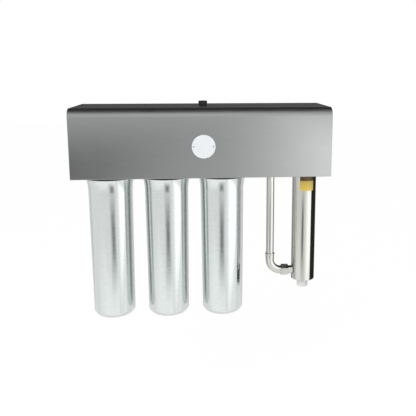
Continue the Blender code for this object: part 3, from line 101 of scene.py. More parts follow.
class FilterCover(bpy.types.PropertyGroup):
    """Folded cover, its knob and its badge."""

    sheet: size("Sheet", 1.2 * MM, "Thickness of the cover's sheet")
    bend: size("Bend", 28 * MM, "Outside radius of the bend along the front")
    corner: size("Corner", 2.4 * MM, "Radius where the cheeks meet the front and the top")
    hem: size("Hem", 11 * MM, "Depth of the fold inward along the front's foot")
    hem_bend: size("Hem bend", 1.8 * MM, "Outside radius of the hem's fold")
    fold: size("Rear fold", 12 * MM, "Width of the fold inward behind each cheek")
    slot: size("Pipe slot", 19.5 * MM, "Half width of the slot for a pipe in each cheek")
    hole: size("Stud hole", 4.7 * MM, "Radius of the hole for the knob's stud")
    knob: size("Knob", 15 * MM, "Radius of the knob")
    knob_edge: size("Knob edge", 1.8 * MM, "Rounding of the knob's edges")
    knob_foot: size("Knob foot", 11.8 * MM, "Radius of the step under the knob")
    knob_step: size("Knob step", 2.2 * MM, "Height of the step under the knob")
    stud: size("Stud", 4 * MM, "Radius of the knob's stud")
    flutes: number("Flutes", 9, "Grip hollows round the knob")
    flute: size("Flute", 0.9 * MM, "Depth of a grip hollow")
    badge_edge: size("Badge edge", 1 * MM, "Rounding of the badge's edge")
    rivet: size("Rivet", 2.3 * MM, "Radius of a rivet's head")
    rivet_rise: size("Rivet height", 1.1 * MM, "Height of a rivet's head")
    rivet_shank: size("Rivet shank", 1.4 * MM, "Radius of a rivet's shank")


class FilterHousing(bpy.types.PropertyGroup):
    """Steel housings, the rings that hold them and the heads over them."""

    rim: size("Rim", 88 * MM, "Radius of the rolled rim")
    rim_thick: size("Rim height", 4 * MM, "Height of the rolled rim")
    neck: size("Neck", 75.3 * MM, "Radius where the flare starts")
    flare: size("Flare height", 62.7 * MM, "Height of the flare under the rim")
    flare_arc: size("Flare arc", 185 * MM, "Radius of the flare's curve")
    foot: size("Foot", 71.7 * MM, "Radius above the rounded bottom edge")
    corner: size("Bottom edge", 21 * MM, "Radius of the rounded bottom edge")
    crown: size("Crown", 2.5 * MM, "How far the bottom bulges")
    flat: size("Flat", 20 * MM, "Radius of the flat in the middle of the bottom")
    wall: size("Wall", 1.2 * MM, "Thickness of the steel")
    ring: size("Ring", 94.2 * MM, "Radius of the lock ring between its ribs")
    ring_rib: size("Ring rib", 1.2 * MM, "Height of a rib on the lock ring")
    ring_ribs: number("Ring ribs", 12, "Ribs round the lock ring")
    ring_edge: size("Ring edge", 1.6 * MM, "Bevel of the lock ring's edges")
    skirt: size("Skirt", 90.2 * MM, "Radius of the head's screwed skirt")
    skirt_top: size("Skirt top", 48 * MM, "Depth of the skirt's top under the pipes' axis")
    shoulder: size("Shoulder", 8 * MM, "Height of the slope over the skirt")
    head: size("Head", 76 * MM, "Radius of the head's body")
    head_round: size("Head rounding", 10 * MM, "Rounding round the head's top")
    bowl: size("Bowl", 64 * MM, "Radius of the hollow under the head")
    bowl_mouth: size("Bowl mouth", 81.5 * MM, "Radius of the hollow's mouth")
    bowl_flare: size("Bowl flare", 24 * MM, "Height over which the hollow widens")
    bowl_roof: size("Bowl roof", 30 * MM, "Depth of the hollow's roof under the pipes' axis")
    spout: size("Spout", 15.5 * MM, "Radius of the spout that the cartridge seals on")
    spout_bore: size("Spout bore", 11 * MM, "Radius of the spout's bore")
    spout_length: size("Spout length", 26 * MM, "Length of the spout")
    port: size("Port", 26.5 * MM, "Radius of a head's port")
    port_lip: size("Port lip", 9 * MM, "Width of the lip round a port's mouth")
    rib: size("Head rib", 4 * MM, "Thickness of a rib on the head")
    button: size("Button", 9 * MM, "Radius of the relief button")
    button_cap: size("Button cap", 12.5 * MM, "Height of the relief button's cap")
    button_stem: size("Button stem", 3.5 * MM, "Radius of the relief button's stem")
    screw: size("Screw", 10 * MM, "Screw head across its flats")
    screw_head: size("Screw head", 4 * MM, "Height of a screw's head")
    screw_shank: size("Screw shank", 3 * MM, "Radius of a screw's shank")


class FilterPipes(bpy.types.PropertyGroup):
    """Pipes, fittings and the lamp chamber."""

    pipe: size("Pipe", 14 * MM, "Radius of the pipe")
    elbow: size("Elbow", 15 * MM, "Radius of an elbow's tube")
    bend: size("Elbow bend", 40 * MM, "Radius of an elbow's bend")
    wall: size("Wall", 1.2 * MM, "Thickness of pipes and elbows")
    socket: size("Press socket", 15.6 * MM, "Radius of a press socket")
    bead: size("Bead", 1.5 * MM, "How far a press socket's bead stands out")
    bead_half: size("Half bead", 3.5 * MM, "Half the width of a press socket's bead")
    collar: size("Collar", 20 * MM, "Radius of the outlet elbow's collar")
    collar_length: size("Collar length", 10 * MM, "Length of the outlet elbow's collar")
    tail: size("Tail flange", 16.5 * MM, "Radius of the flange inside the union nut")
    tail_thick: size("Tail thickness", 3 * MM, "Thickness of that flange")
    nut: size("Union nut", 37.5 * MM, "Union nut across its flats")
    nut_lip: size("Nut lip", 4 * MM, "Thickness of the union nut's lip")
    chamber: size("Chamber", 42 * MM, "Radius of the lamp chamber")
    chamber_wall: size("Chamber wall", 1.5 * MM, "Thickness of the chamber's steel")
    chamber_edge: size("Chamber edge", 2 * MM, "Rounding of the chamber's ends")
    boss: size("Boss", 16 * MM, "Radius of the screwed boss at each end")
    boss_bore: size("Boss bore", 12 * MM, "Radius of a boss's bore")
    boss_height: size("Boss height", 13 * MM, "Height of each boss")
    neck: size("Neck", 15 * MM, "Radius of the inlet neck")
    neck_bore: size("Neck bore", 12.5 * MM, "Radius of the neck's bore")
    neck_thread: size("Neck thread", 16.6 * MM, "Radius of the neck's thread")
    neck_length: size("Neck thread length", 16 * MM, "Length of the neck's thread")
    thread: size("Thread", 16.3 * MM, "Radius of a port's thread")
    pitch: size("Thread pitch", 2.309 * MM, "Pitch of a one-inch pipe thread")
    thread_length: size("Thread length", 20 * MM, "Length of the outlet's thread")
    nipple: size("Nipple", 40 * MM, "Nipple across its flats")
    nipple_hexagon: size("Nipple hexagon", 10 * MM, "Length of the inlet nipple's hexagon")
    nipple_bore: size("Nipple bore", 12 * MM, "Radius of a nipple's bore")
    cap: size("Foot cap", 19.5 * MM, "Radius of the cap under the chamber")
    cap_edge: size("Cap edge", 2.6 * MM, "Rounding of the cap's foot")
    cap_depth: size("Cap depth", 20.3 * MM, "Depth of the cap's bore")
    cap_ribs: number("Cap ribs", 14, "Grip ribs round the cap")
    cap_rib: size("Cap rib", 0.3 * MM, "Height of a grip rib")
    gland: size("Gland nut", 42 * MM, "Gland nut across its flats")
    gland_roof: size("Gland roof", 4 * MM, "Thickness of the gland nut's roof")
    gland_hole: size("Gland hole", 10.6 * MM, "Radius of the hole for the lamp")
    label_top: size("Label top", 96.5 * MM, "Depth of the label's top under the pipes' axis")
    label_foot: size("Label foot", 146.6 * MM, "Depth of the label's foot under the pipes' axis")
    label_band: size("Label band", 15.2 * MM, "Height of the dark band along the label's top")
    label_left: size("Label left", 20.5 * MM, "How far the label reaches to the left of the chamber's axis")
    label_right: size("Label right", 25.5 * MM, "How far it reaches to the right")
    label_film: size("Label film", 0.15 * MM, "Thickness of the label")


class FilterColours(bpy.types.PropertyGroup):
    """Colours of the surfaces, as the bare material shows them."""

    satin: tint("Satin steel", "A2A4A3", "Cover")
    bright: tint("Bright steel", "D3D8D6", "Housings")
    mirror: tint("Mirror steel", "C6C6C1", "Chamber and pipes")
    zinc: tint("Zinc", "B4B8BC", "Screws, clamp and gland nut")
    bracket: tint("Powder coat", "3A3D40", "Wall bracket")
    head: tint("Head", "23262A", "Filter heads")
    ring: tint("Ring", "26292D", "Lock rings")
    knob: tint("Knob", "121212", "Knob")
    button: tint("Button", "B3261E", "Relief buttons")
    enamel: tint("Enamel", "F1F5F7", "Badge")
    white: tint("White plastic", "F8F8F6", "Foot cap and lamp socket")
    label: tint("Label", "FFDC62", "Label on the chamber")
    label_band: tint("Label band", "6A5220", "Band along the label's top")
    paper: tint("Filter sheet", "F1EFE8", "Pleated cartridge")
    wrap: tint("Filter wrap", "E9E8E2", "Carbon cartridges")
    cap: tint("End cap", "DCE6EA", "Caps of the cartridges")
    rubber: tint("Rubber", "17181A", "Seals and lead")
    supply: tint("Supply", "2F3236", "Lamp supply")
    quartz: tint("Quartz", "F4FAFB", "Sleeve round the lamp")


class FilterStage(bpy.types.PropertyGroup):
    """Camera and studio."""

    eye: FloatVectorProperty(
        name="Eye", default=(-0.0227, -2.1106, 0.277), description="The camera's place", subtype="XYZ", precision=4
    )
    heading: FloatProperty(
        name="Heading", default=math.radians(4.525), description="The camera's turn to the right", subtype="ANGLE"
    )
    tilt: FloatProperty(name="Tilt", default=math.radians(9.912), description="How far it looks down", subtype="ANGLE")
    focal: level("Focal length", 49.51, "Millimetres on a 36 mm sensor")
    floor: FloatProperty(name="Floor", default=-1.30, description="Height of the floor", unit="LENGTH")
    plain: level("Plain light", 0.6, "Even light from all round on matt surfaces")
    lamp: level("Lamp", 36.0, "Power of the lamp in front")
    streak: level("Dark figure", 0.2, "Brightness of the figure in front that the housings mirror")
    shade: level("Left flag", 0.02, "Brightness of the flag that darkens the cover's left end")
    wing: level("Right wing", 1.85, "Brightness of the reflector that lights the cover's right end")
    window: level("Window", 1.75, "Brightness of the large window at the right")
    ground: level("Ground sheet", 1.22, "Brightness of the sheet on the floor in front")
    flag: level("Flag", 0.03, "Brightness of the black flag beside the chamber")
    rear: level("Rear wall", 0.8, "Brightness of the wall behind, in mirrors")


# Working as by hand


def deselect():
    """Leaves edit mode and selects nothing."""
    if bpy.context.mode != "OBJECT":
        bpy.ops.object.mode_set(mode="OBJECT")
    bpy.ops.object.select_all(action="DESELECT")


def choose(piece, edit=False):
    """Makes a piece the only one selected, and opens it."""
    deselect()
    piece.select_set(True)
    bpy.context.view_layer.objects.active = piece
    if edit:
        bpy.ops.object.mode_set(mode="EDIT")
        bpy.ops.mesh.select_mode(type="VERT")
        bpy.ops.mesh.select_all(action="SELECT")


def begin(name):
    """Names the primitive just added, puts its place in its mesh and opens it."""
    piece = bpy.context.active_object
    piece.name = piece.data.name = name
    bpy.ops.object.transform_apply(location=True, rotation=True, scale=True)
    choose(piece, edit=True)
    return piece


def pick(piece, kind, wanted):
    """Selects the vertices, edges or faces that a test wants."""
    bpy.ops.mesh.select_mode(type=kind)
    bpy.ops.mesh.select_all(action="DESELECT")
    mesh = bmesh.from_edit_mesh(piece.data)
    found = [item for item in {"VERT": mesh.verts, "EDGE": mesh.edges, "FACE": mesh.faces}[kind] if wanted(item)]
    if not found:
        raise RuntimeError(f"{piece.name}: nothing to select")
    for item in found:
        item.select_set(True)
    mesh.select_flush_mode()
    bmesh.update_edit_mesh(piece.data)


def middle(item):
    """Middle of an edge or a face."""
    return sum((vert.co for vert in item.verts), Vector()) / len(item.verts)


def extrude(move):
    bpy.ops.mesh.extrude_region_move(TRANSFORM_OT_translate={"value": move})


def widen(share, axis, centre):
    """Scales what is selected out from an axis."""
    value = [1 if abs(along) > 0.5 else share for along in axis]
    bpy.ops.transform.resize(value=value, center_override=centre)


def close_up(piece):
    """Merges doubled points, turns every face outwards and leaves edit mode."""
    bpy.ops.mesh.select_all(action="SELECT")
    bpy.ops.mesh.remove_doubles(threshold=CLOSE)
    bpy.ops.mesh.normals_make_consistent(inside=False)
    bpy.ops.object.mode_set(mode="OBJECT")
    return piece


def modify(piece, kind, **settings):
    """Adds a modifier, sets it and applies it."""
    choose(piece)
    modifier = piece.modifiers.new(kind, kind)
    for name, value in settings.items():
        setattr(modifier, name, value)
    bpy.ops.object.modifier_apply(modifier=modifier.name)


def combine(piece, operation, *others):
    """Adds to a piece what other pieces fill, cuts it out or keeps only that."""
    for other in others:
        modify(piece, "BOOLEAN", operation=operation, object=other, solver="EXACT")
        bpy.data.objects.remove(other)


def repeat(first, name, node, numbers):
    """The first piece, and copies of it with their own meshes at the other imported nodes."""
    pieces = [first]
    start = span(node.format(numbers[0]))[2]
    for k in numbers[1:]:
        choose(first)
        bpy.ops.object.duplicate()
        twin = bpy.context.active_object
        twin.name = twin.data.name = name.format(k)
        bpy.ops.transform.translate(value=span(node.format(k))[2] - start)
        bpy.ops.object.transform_apply(location=True, rotation=True, scale=True)
        pieces.append(twin)
    return zip(numbers, pieces)


def ring_at(name, place, radius, sides, axis, twist=0):
    """Starts a piece as a circle round an axis."""
    deselect()
    way = Z.rotation_difference(axis) @ Quaternion(Z, twist)
    bpy.ops.mesh.primitive_circle_add(vertices=sides, radius=radius, location=place, rotation=way.to_euler())
    return begin(name)


def turn(name, centre, outline, sides, axis=Z, twist=0):
    """Turns an outline of (radius, height) round an axis.

    A circle is extruded and scaled along the outline. An outline that starts or ends on the
    axis is closed there, and one that ends where it starts is a ring.
    """
    centre = Vector(centre)
    rings = [point for point in outline if point[0] > POLE]
    radius, height = rings[0]
    piece = ring_at(name, centre + axis * height, radius, sides, axis, twist)
    for next_radius, next_height in rings[1:]:
        extrude(axis * (next_height - height))
        widen(next_radius / radius, axis, centre + axis * next_height)
        radius, height = next_radius, next_height
    if outline[-1][0] <= POLE:
        extrude(axis * (outline[-1][1] - height))
        bpy.ops.mesh.merge(type="CENTER")
    if outline[0][0] <= POLE:
        pick(piece, "EDGE", lambda edge: edge.is_boundary)
        extrude(axis * (outline[0][1] - rings[0][1]))
        bpy.ops.mesh.merge(type="CENTER")
    return close_up(piece)


def arc(centre, radius, start, end, steps):
    """Points of an arc, angles in degrees."""
    angles = [math.radians(start + (end - start) * i / steps) for i in range(steps + 1)]
    return [(centre[0] + radius * math.cos(a), centre[1] + radius * math.sin(a)) for a in angles]


def rod(name, centre, radius, low, high, sides=64, axis=Z, twist=0):
    """A plain bar, for cutting and joining."""
    return turn(name, centre, [(0, low), (radius, low), (radius, high), (0, high)], sides, axis, twist)


def block(name, low, high):
    """A plain box between two corners, for cutting and joining."""
    deselect()
    low, high = Vector(low), Vector(high)
    bpy.ops.mesh.primitive_cube_add(size=1, location=(low + high) / 2, scale=high - low)
    piece = begin(name)
    bpy.ops.object.mode_set(mode="OBJECT")
    return piece


def nut_bar(name, centre, across, low, high, axis=Z):
    """A hexagon bar whose corners are rounded at both ends, as a lathe leaves a nut."""
    corner, flat = across / math.sqrt(3), across / 2
    trim = (corner - flat) * 0.75
    inner, outer = flat * 0.98, corner * 1.02
    bar = rod(name, centre, corner, low, high, 6, axis, HEXAGON_TURN)
    drum = [(0, low), (inner, low), (outer, low + trim), (outer, high - trim), (inner, high), (0, high)]
    combine(bar, "INTERSECT", turn("drum", centre, drum, 96, axis))
    return bar


def threaded(name, centre, radius, bore, low, high, pitch, axis):
    """A tube with a pipe thread, whose rings stand for the turns of the helix."""
    root = radius - 0.64 * pitch
    turns = int((high - low) / pitch)
    start = high - turns * pitch
    outline = [(bore, low), (root, low), (root, start)]
    for i in range(turns):
        foot = start + i * pitch
        outline += [(radius, foot + 0.4 * pitch), (radius, foot + 0.55 * pitch), (root, foot + 0.95 * pitch)]
    outline += [(root, high), (bore, high), (bore, low)]
    return turn(name, centre, outline, 64, axis)


def run_tube(name, place, heading, radius, legs, wall):
    """A tube along a route: a circle that is extruded, widened and spun round bends.

    A leg is either (distance, radius) or (bend, side), where side is the way to turn to.
    """
    place = Vector(place)
    piece = ring_at(name, place, radius, 64, heading)
    for first, second in legs:
        if isinstance(second, Vector):
            centre = place + second * first
            bpy.ops.mesh.spin(steps=24, angle=-math.pi / 2, center=centre, axis=heading.cross(second))
            place, heading = centre + heading * first, second
        else:
            extrude(heading * first)
            place = place + heading * first
            widen(second / radius, heading, place)
            radius = second
    ends = [vert.co for vert in bmesh.from_edit_mesh(piece.data).verts if vert.select]
    if (sum(ends, Vector()) / len(ends) - place).length > MM:
        raise RuntimeError(f"{name}: the route ends in the wrong place")
    close_up(piece)
    modify(piece, "SOLIDIFY", thickness=wall, offset=-1, use_even_offset=True)
    return piece


def smooth(piece, angle=32, bevel=0):
    """Breaks sharp edges by a small bevel and smooths the rest."""
    if bevel:
        limit = math.radians(angle)
        modify(piece, "BEVEL", width=bevel, segments=2, limit_method="ANGLE", angle_limit=limit, use_clamp_overlap=False)
    choose(piece)
    bpy.ops.object.shade_smooth_by_angle(angle=math.radians(angle))
    modify(piece, "WEIGHTED_NORMAL", keep_sharp=True)


def settle(piece, body, coat_name, *nodes):
    """Gives a finished piece its surface and the body it rides on, and hides the nodes it stands for."""
    surface = coat(coat_name)
    piece.data.materials.clear()
    piece.data.materials.append(surface)
    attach(piece, body)
    if nodes:
        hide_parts(*nodes)


def refined(node, body, coat_name, bevel=0.4 * MM, angle=35):
    """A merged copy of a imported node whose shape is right, with its edges broken and smoothed."""
    deselect()
    piece = bpy.data.objects.new(f"{node}_piece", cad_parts[node].data.copy())
    bpy.context.scene.collection.objects.link(piece)
    choose(piece, edit=True)
    bpy.ops.mesh.remove_doubles(threshold=CLOSE)
    bpy.ops.mesh.dissolve_limited(angle_limit=math.radians(1))
    bpy.ops.object.mode_set(mode="OBJECT")
    smooth(piece, angle, bevel)
    settle(piece, body, coat_name, node)


def span(node):
    """Lowest corner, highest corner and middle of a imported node."""
    low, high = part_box(node)
    return low, high, (low + high) / 2


# Surfaces


def add(tree, kind, sockets=None, out=0, **settings):
    """Adds a node, sets it, fills its sockets with values or links, and gives an output."""
    node = tree.nodes.new(kind)
    for name, value in settings.items():
        setattr(node, name, value)
    for name, value in (sockets or {}).items():
        if isinstance(value, bpy.types.NodeSocket):
            tree.links.new(value, node.inputs[name])
        else:
            node.inputs[name].default_value = value
    return node.outputs[out] if node.outputs else node


def per(millimetres):
    """Scale of a pattern whose spots are that many millimetres across."""
    return 1 / (millimetres * MM)


def start(name, slot, colour, metallic, roughness, **fixed):
    """A new material with its shader's own sockets set; gives its nodes and its coordinates."""
    material = bpy.data.materials.new(name)
    material.use_nodes = True
    if slot:
        material["slot"] = slot
    tree = material.node_tree
    shader = tree.nodes["Principled BSDF"].inputs
    shader["Base Color"].default_value = (*colour, 1)
    shader["Metallic"].default_value = metallic
    shader["Roughness"].default_value = roughness
    for socket, value in fixed.items():
        shader[socket.replace("_", " ")].default_value = value
    return material, tree, shader, add(tree, "ShaderNodeTexCoord", out="Object")


def tones(tree, factor, low, high):
    """Two tones of a colour mixed by a pattern."""
    return add(tree, "ShaderNodeMix", {0: factor, 6: (*low, 1), 7: (*high, 1)}, 2, data_type="RGBA")


def shades(colour, share):
    """A colour at a share of its brightness."""
    return [channel * share for channel in colour]


def satin_sheet(colour):
    """Stainless sheet ground on a belt: soft grey, with faint lines along the sheet."""
    material, tree, shader, place = start("satin_belt_ground_stainless", "brushed_steel", colour, 1, 0.38)
    # The belt leaves lines 0.1 mm apart. They are drawn 3 mm apart, so that they just show.
    lie = add(tree, "ShaderNodeMapping", {"Vector": place, "Scale": (per(50), per(3), per(3))})
    lines = add(tree, "ShaderNodeTexNoise", {"Vector": lie, "Scale": 1, "Detail": 2})
    # Handling leaves palm-sized clouds that are a little duller.
    clouds = add(tree, "ShaderNodeTexNoise", {"Vector": place, "Scale": per(90), "Detail": 3})
    fine = add(tree, "ShaderNodeMapRange", {"Value": lines, 1: 0.3, 2: 0.7, 3: 0.34, 4: 0.40})
    dull = add(tree, "ShaderNodeMapRange", {"Value": clouds, 1: 0.35, 2: 0.65, 3: -0.02, 4: 0.03})
    rough = add(tree, "ShaderNodeMath", {0: fine, 1: dull}, operation="ADD")
    tree.links.new(rough, shader["Roughness"])
    tree.links.new(tones(tree, lines, shades(colour, 0.93), shades(colour, 1.06)), shader["Base Color"])
    bump = add(tree, "ShaderNodeBump", {"Height": lines, "Distance": 0.01 * MM, "Strength": 0.4})
    tree.links.new(bump, shader["Normal"])
    return material


def drawn_steel(colour):
    """Deep-drawn stainless buffed bright: slow waves from the press bend what it mirrors."""
    material, tree, shader, place = start("buffed_deep_drawn_stainless", "polished_steel", colour, 1, 0.15)
    # The press leaves waves 34 mm across, longer up and down than round.
    lie = add(tree, "ShaderNodeMapping", {"Vector": place, "Scale": (per(34), per(34), per(75))})
    waves = add(tree, "ShaderNodeTexNoise", {"Vector": lie, "Scale": 1, "Detail": 1})
    # Buffing marks run round the housing. They are 0.2 mm apart and drawn 4 mm apart.
    turned = add(tree, "ShaderNodeMapping", {"Vector": place, "Scale": (per(20), per(20), per(4))})
    marks = add(tree, "ShaderNodeTexNoise", {"Vector": turned, "Scale": 1, "Detail": 2})
    rough = add(tree, "ShaderNodeMapRange", {"Value": marks, 1: 0.3, 2: 0.7, 3: 0.12, 4: 0.18})
    tree.links.new(rough, shader["Roughness"])
    tree.links.new(tones(tree, marks, shades(colour, 0.9), shades(colour, 1.05)), shader["Base Color"])
    slow = add(tree, "ShaderNodeBump", {"Height": waves, "Distance": 0.25 * MM, "Strength": 0.5})
    fine = add(tree, "ShaderNodeBump", {"Height": marks, "Distance": 0.09 * MM, "Strength": 0.8, "Normal": slow})
    tree.links.new(fine, shader["Normal"])
    return material


def mirror_tube(colour):
    """Stainless tube polished to a mirror: crisp stripes with faint drawing lines along it."""
    material, tree, shader, place = start("mirror_polished_stainless_tube", "polished_steel", colour, 1, 0.07)
    # The drawing die leaves lines 0.1 mm apart, drawn 0.7 mm apart.
    lie = add(tree, "ShaderNodeMapping", {"Vector": place, "Scale": (per(0.7), per(0.7), per(70))})
    lines = add(tree, "ShaderNodeTexNoise", {"Vector": lie, "Scale": 1, "Detail": 2})
    # Hands leave smears an inch or so across.
    smears = add(tree, "ShaderNodeTexNoise", {"Vector": place, "Scale": per(25), "Detail": 4})
    rough = add(tree, "ShaderNodeMapRange", {"Value": smears, 1: 0.35, 2: 0.7, 3: 0.05, 4: 0.10})
    tree.links.new(rough, shader["Roughness"])
    tree.links.new(tones(tree, smears, shades(colour, 1.02), shades(colour, 0.97)), shader["Base Color"])
    bump = add(tree, "ShaderNodeBump", {"Height": lines, "Distance": 0.002 * MM, "Strength": 0.4})
    tree.links.new(bump, shader["Normal"])
    return material


def zinc_plate(colour):
    """Steel turned or pressed and zinc-plated: cool and cloudy, between matt and bright."""
    material, tree, shader, place = start("zinc_plated_steel", "zinc_steel", colour, 1, 0.34)
    # The clouds of a clear passivation are 1 mm across and drawn at 2 mm.
    clouds = add(tree, "ShaderNodeTexNoise", {"Vector": place, "Scale": per(2), "Detail": 3})
    rough = add(tree, "ShaderNodeMapRange", {"Value": clouds, 1: 0.35, 2: 0.65, 3: 0.26, 4: 0.44})
    tree.links.new(rough, shader["Roughness"])
    tree.links.new(tones(tree, clouds, shades(colour, 0.82), colour), shader["Base Color"])
    return material


def moulded(name, slot, colour, roughness, pebble, depth):
    """Moulded plastic or rubber: even colour under the fine grain of a spark-eroded mould."""
    material, tree, shader, place = start(name, slot, colour, 0, roughness, IOR=1.5)
    spots = add(tree, "ShaderNodeTexNoise", {"Vector": place, "Scale": per(pebble), "Detail": 1})
    # Where the plastic flowed slowly the gloss is a little less, in patches of some 30 mm.
    flow = add(tree, "ShaderNodeTexNoise", {"Vector": place, "Scale": per(30), "Detail": 2})
    rough = add(tree, "ShaderNodeMapRange", {0: flow, 1: 0.35, 2: 0.65, 3: roughness - 0.05, 4: roughness + 0.06})
    tree.links.new(rough, shader["Roughness"])
    tree.links.new(tones(tree, flow, shades(colour, 0.93), shades(colour, 1.03)), shader["Base Color"])
    bump = add(tree, "ShaderNodeBump", {"Height": spots, "Distance": depth * MM, "Strength": 0.6})
    tree.links.new(bump, shader["Normal"])
    return material


def powder_coat(colour):
    """Polyester powder coat on steel: dark and matt, with the pebble of melted powder."""
    material, tree, shader, place = start("polyester_powder_coat", "bracket_paint", colour, 0, 0.55, IOR=1.5)
    # The pebble is 0.7 mm across.
    pebble = add(tree, "ShaderNodeTexNoise", {"Vector": place, "Scale": per(0.7), "Detail": 1})
    tree.links.new(tones(tree, pebble, shades(colour, 0.82), shades(colour, 1.12)), shader["Base Color"])
    bump = add(tree, "ShaderNodeBump", {"Height": pebble, "Distance": 0.05 * MM, "Strength": 0.7})
    tree.links.new(bump, shader["Normal"])
    return material


def fired_enamel(colour):
    """Vitreous enamel fired on steel: cold white glass with a slight orange peel."""
    material, tree, shader, place = start(
        "fired_enamel", "badge_enamel", colour, 0, 0.18, IOR=1.52, Coat_Weight=0.4, Coat_Roughness=0.05
    )
    # The peel is 2.5 mm from crest to crest.
    peel = add(tree, "ShaderNodeTexNoise", {"Vector": place, "Scale": per(2.5), "Detail": 0})
    cloud = add(tree, "ShaderNodeTexNoise", {"Vector": place, "Scale": per(20), "Detail": 2})
    tree.links.new(tones(tree, cloud, shades(colour, 0.97), colour), shader["Base Color"])
    bump = add(tree, "ShaderNodeBump", {"Height": peel, "Distance": 0.02 * MM, "Strength": 0.5})
    tree.links.new(bump, shader["Normal"])
    return material


def printed_vinyl(colour, band, band_foot):
    """Printed vinyl film: yellow with a dark band along its top, and a faint halftone mottle."""
    material, tree, shader, place = start("printed_vinyl_film", None, colour, 0, 0.32, IOR=1.45)
    height = add(tree, "ShaderNodeSeparateXYZ", {"Vector": place}, "Z")
    # The print's edge is sharp to a tenth of a millimetre.
    above = add(tree, "ShaderNodeMapRange", {0: height, 1: band_foot - 0.1 * MM, 2: band_foot + 0.1 * MM})
    # The dots of the print are 0.3 mm across and drawn at 1 mm.
    dots = add(tree, "ShaderNodeTexNoise", {"Vector": place, "Scale": per(1), "Detail": 0})
    ground = tones(tree, dots, shades(colour, 0.92), shades(colour, 1.04))
    both = add(tree, "ShaderNodeMix", {0: above, 6: ground, 7: (*band, 1)}, 2, data_type="RGBA")
    tree.links.new(both, shader["Base Color"])
    return material


def filter_felt(name, slot, colour, fibre):
    """Polyester fibres pressed to a sheet: matt off-white threads that cross one another."""
    material, tree, shader, place = start(name, slot, colour, 0, 0.9, Sheen_Weight=0.3)
    # Fibres are hundredths of a millimetre thick; bundles of them are drawn instead.
    level_lie = add(tree, "ShaderNodeMapping", {"Vector": place, "Scale": (per(12), per(fibre), per(fibre))})
    upright_lie = add(tree, "ShaderNodeMapping", {"Vector": place, "Scale": (per(fibre), per(fibre), per(12))})
    across = add(tree, "ShaderNodeTexNoise", {"Vector": level_lie, "Scale": 1, "Detail": 2})
    along = add(tree, "ShaderNodeTexNoise", {"Vector": upright_lie, "Scale": 1, "Detail": 2})
    weave = add(tree, "ShaderNodeMath", {0: across, 1: along}, operation="MAXIMUM")
    tree.links.new(tones(tree, weave, shades(colour, 0.75), colour), shader["Base Color"])
    bump = add(tree, "ShaderNodeBump", {"Height": weave, "Distance": 0.15 * MM, "Strength": 0.8})
    tree.links.new(bump, shader["Normal"])
    return material


def drawn_quartz(colour):
    """Quartz glass drawn to a tube: colourless, with threads of light along its edges."""
    material, tree, shader, place = start(
        "drawn_quartz_glass", "quartz_glass", colour, 0, 0.02, IOR=1.46, Transmission_Weight=1.0
    )
    # The die leaves streaks 3 mm wide along the tube.
    lie = add(tree, "ShaderNodeMapping", {"Vector": place, "Scale": (per(3), per(3), per(150))})
    streaks = add(tree, "ShaderNodeTexNoise", {"Vector": lie, "Scale": 1, "Detail": 1})
    bump = add(tree, "ShaderNodeBump", {"Height": streaks, "Distance": 0.01 * MM, "Strength": 0.3})
    tree.links.new(bump, shader["Normal"])
    return material


def recipes(colours, pipes):
    """What makes each surface, by its short name."""
    return {
        "satin": lambda: satin_sheet(colours.satin),
        "drawn": lambda: drawn_steel(colours.bright),
        "mirror": lambda: mirror_tube(colours.mirror),
        "zinc": lambda: zinc_plate(colours.zinc),
        "bracket": lambda: powder_coat(colours.bracket),
        "head": lambda: moulded("glass_filled_polypropylene", "head_plastic", colours.head, 0.5, 0.6, 0.03),
        "ring": lambda: moulded("moulded_abs_ring", "ring_plastic", colours.ring, 0.45, 0.5, 0.02),
        "knob": lambda: moulded("moulded_phenolic_knob", "knob_plastic", colours.knob, 0.34, 0.4, 0.01),
        "button": lambda: moulded("moulded_acetal_button", "button_plastic", colours.button, 0.35, 0.4, 0.01),
        "enamel": lambda: fired_enamel(colours.enamel),
        "white": lambda: moulded("moulded_white_abs", "white_plastic", colours.white, 0.36, 0.4, 0.01),
        "cap": lambda: moulded("moulded_polyethylene_cap", "cap_plastic", colours.cap, 0.42, 0.5, 0.02),
        "supply": lambda: moulded("textured_abs_case", "supply_plastic", colours.supply, 0.5, 0.9, 0.05),
        "rubber": lambda: moulded("moulded_nitrile_rubber", "seal_rubber", colours.rubber, 0.62, 0.5, 0.02),
        "lead": lambda: moulded("extruded_rubber_jacket", "lead_rubber", colours.rubber, 0.55, 0.5, 0.02),
        "pleats": lambda: filter_felt("pleated_polyester_sheet", "pleated_paper", colours.paper, 1.2),
        "wrap": lambda: filter_felt("spunbonded_polyester_wrap", "carbon_wrap", colours.wrap, 0.8),
        "quartz": lambda: drawn_quartz(colours.quartz),
        "label": lambda: printed_vinyl(colours.label, colours.label_band, -pipes.label_top - pipes.label_band),
    }


MADE = {}


def coat(name):
    """The surface of that short name, made when it is first wanted."""
    if name not in MADE:
        scene = bpy.context.scene
        MADE[name] = recipes(scene.filter_colours, scene.filter_pipes)[name]()
    return MADE[name]


# Pieces


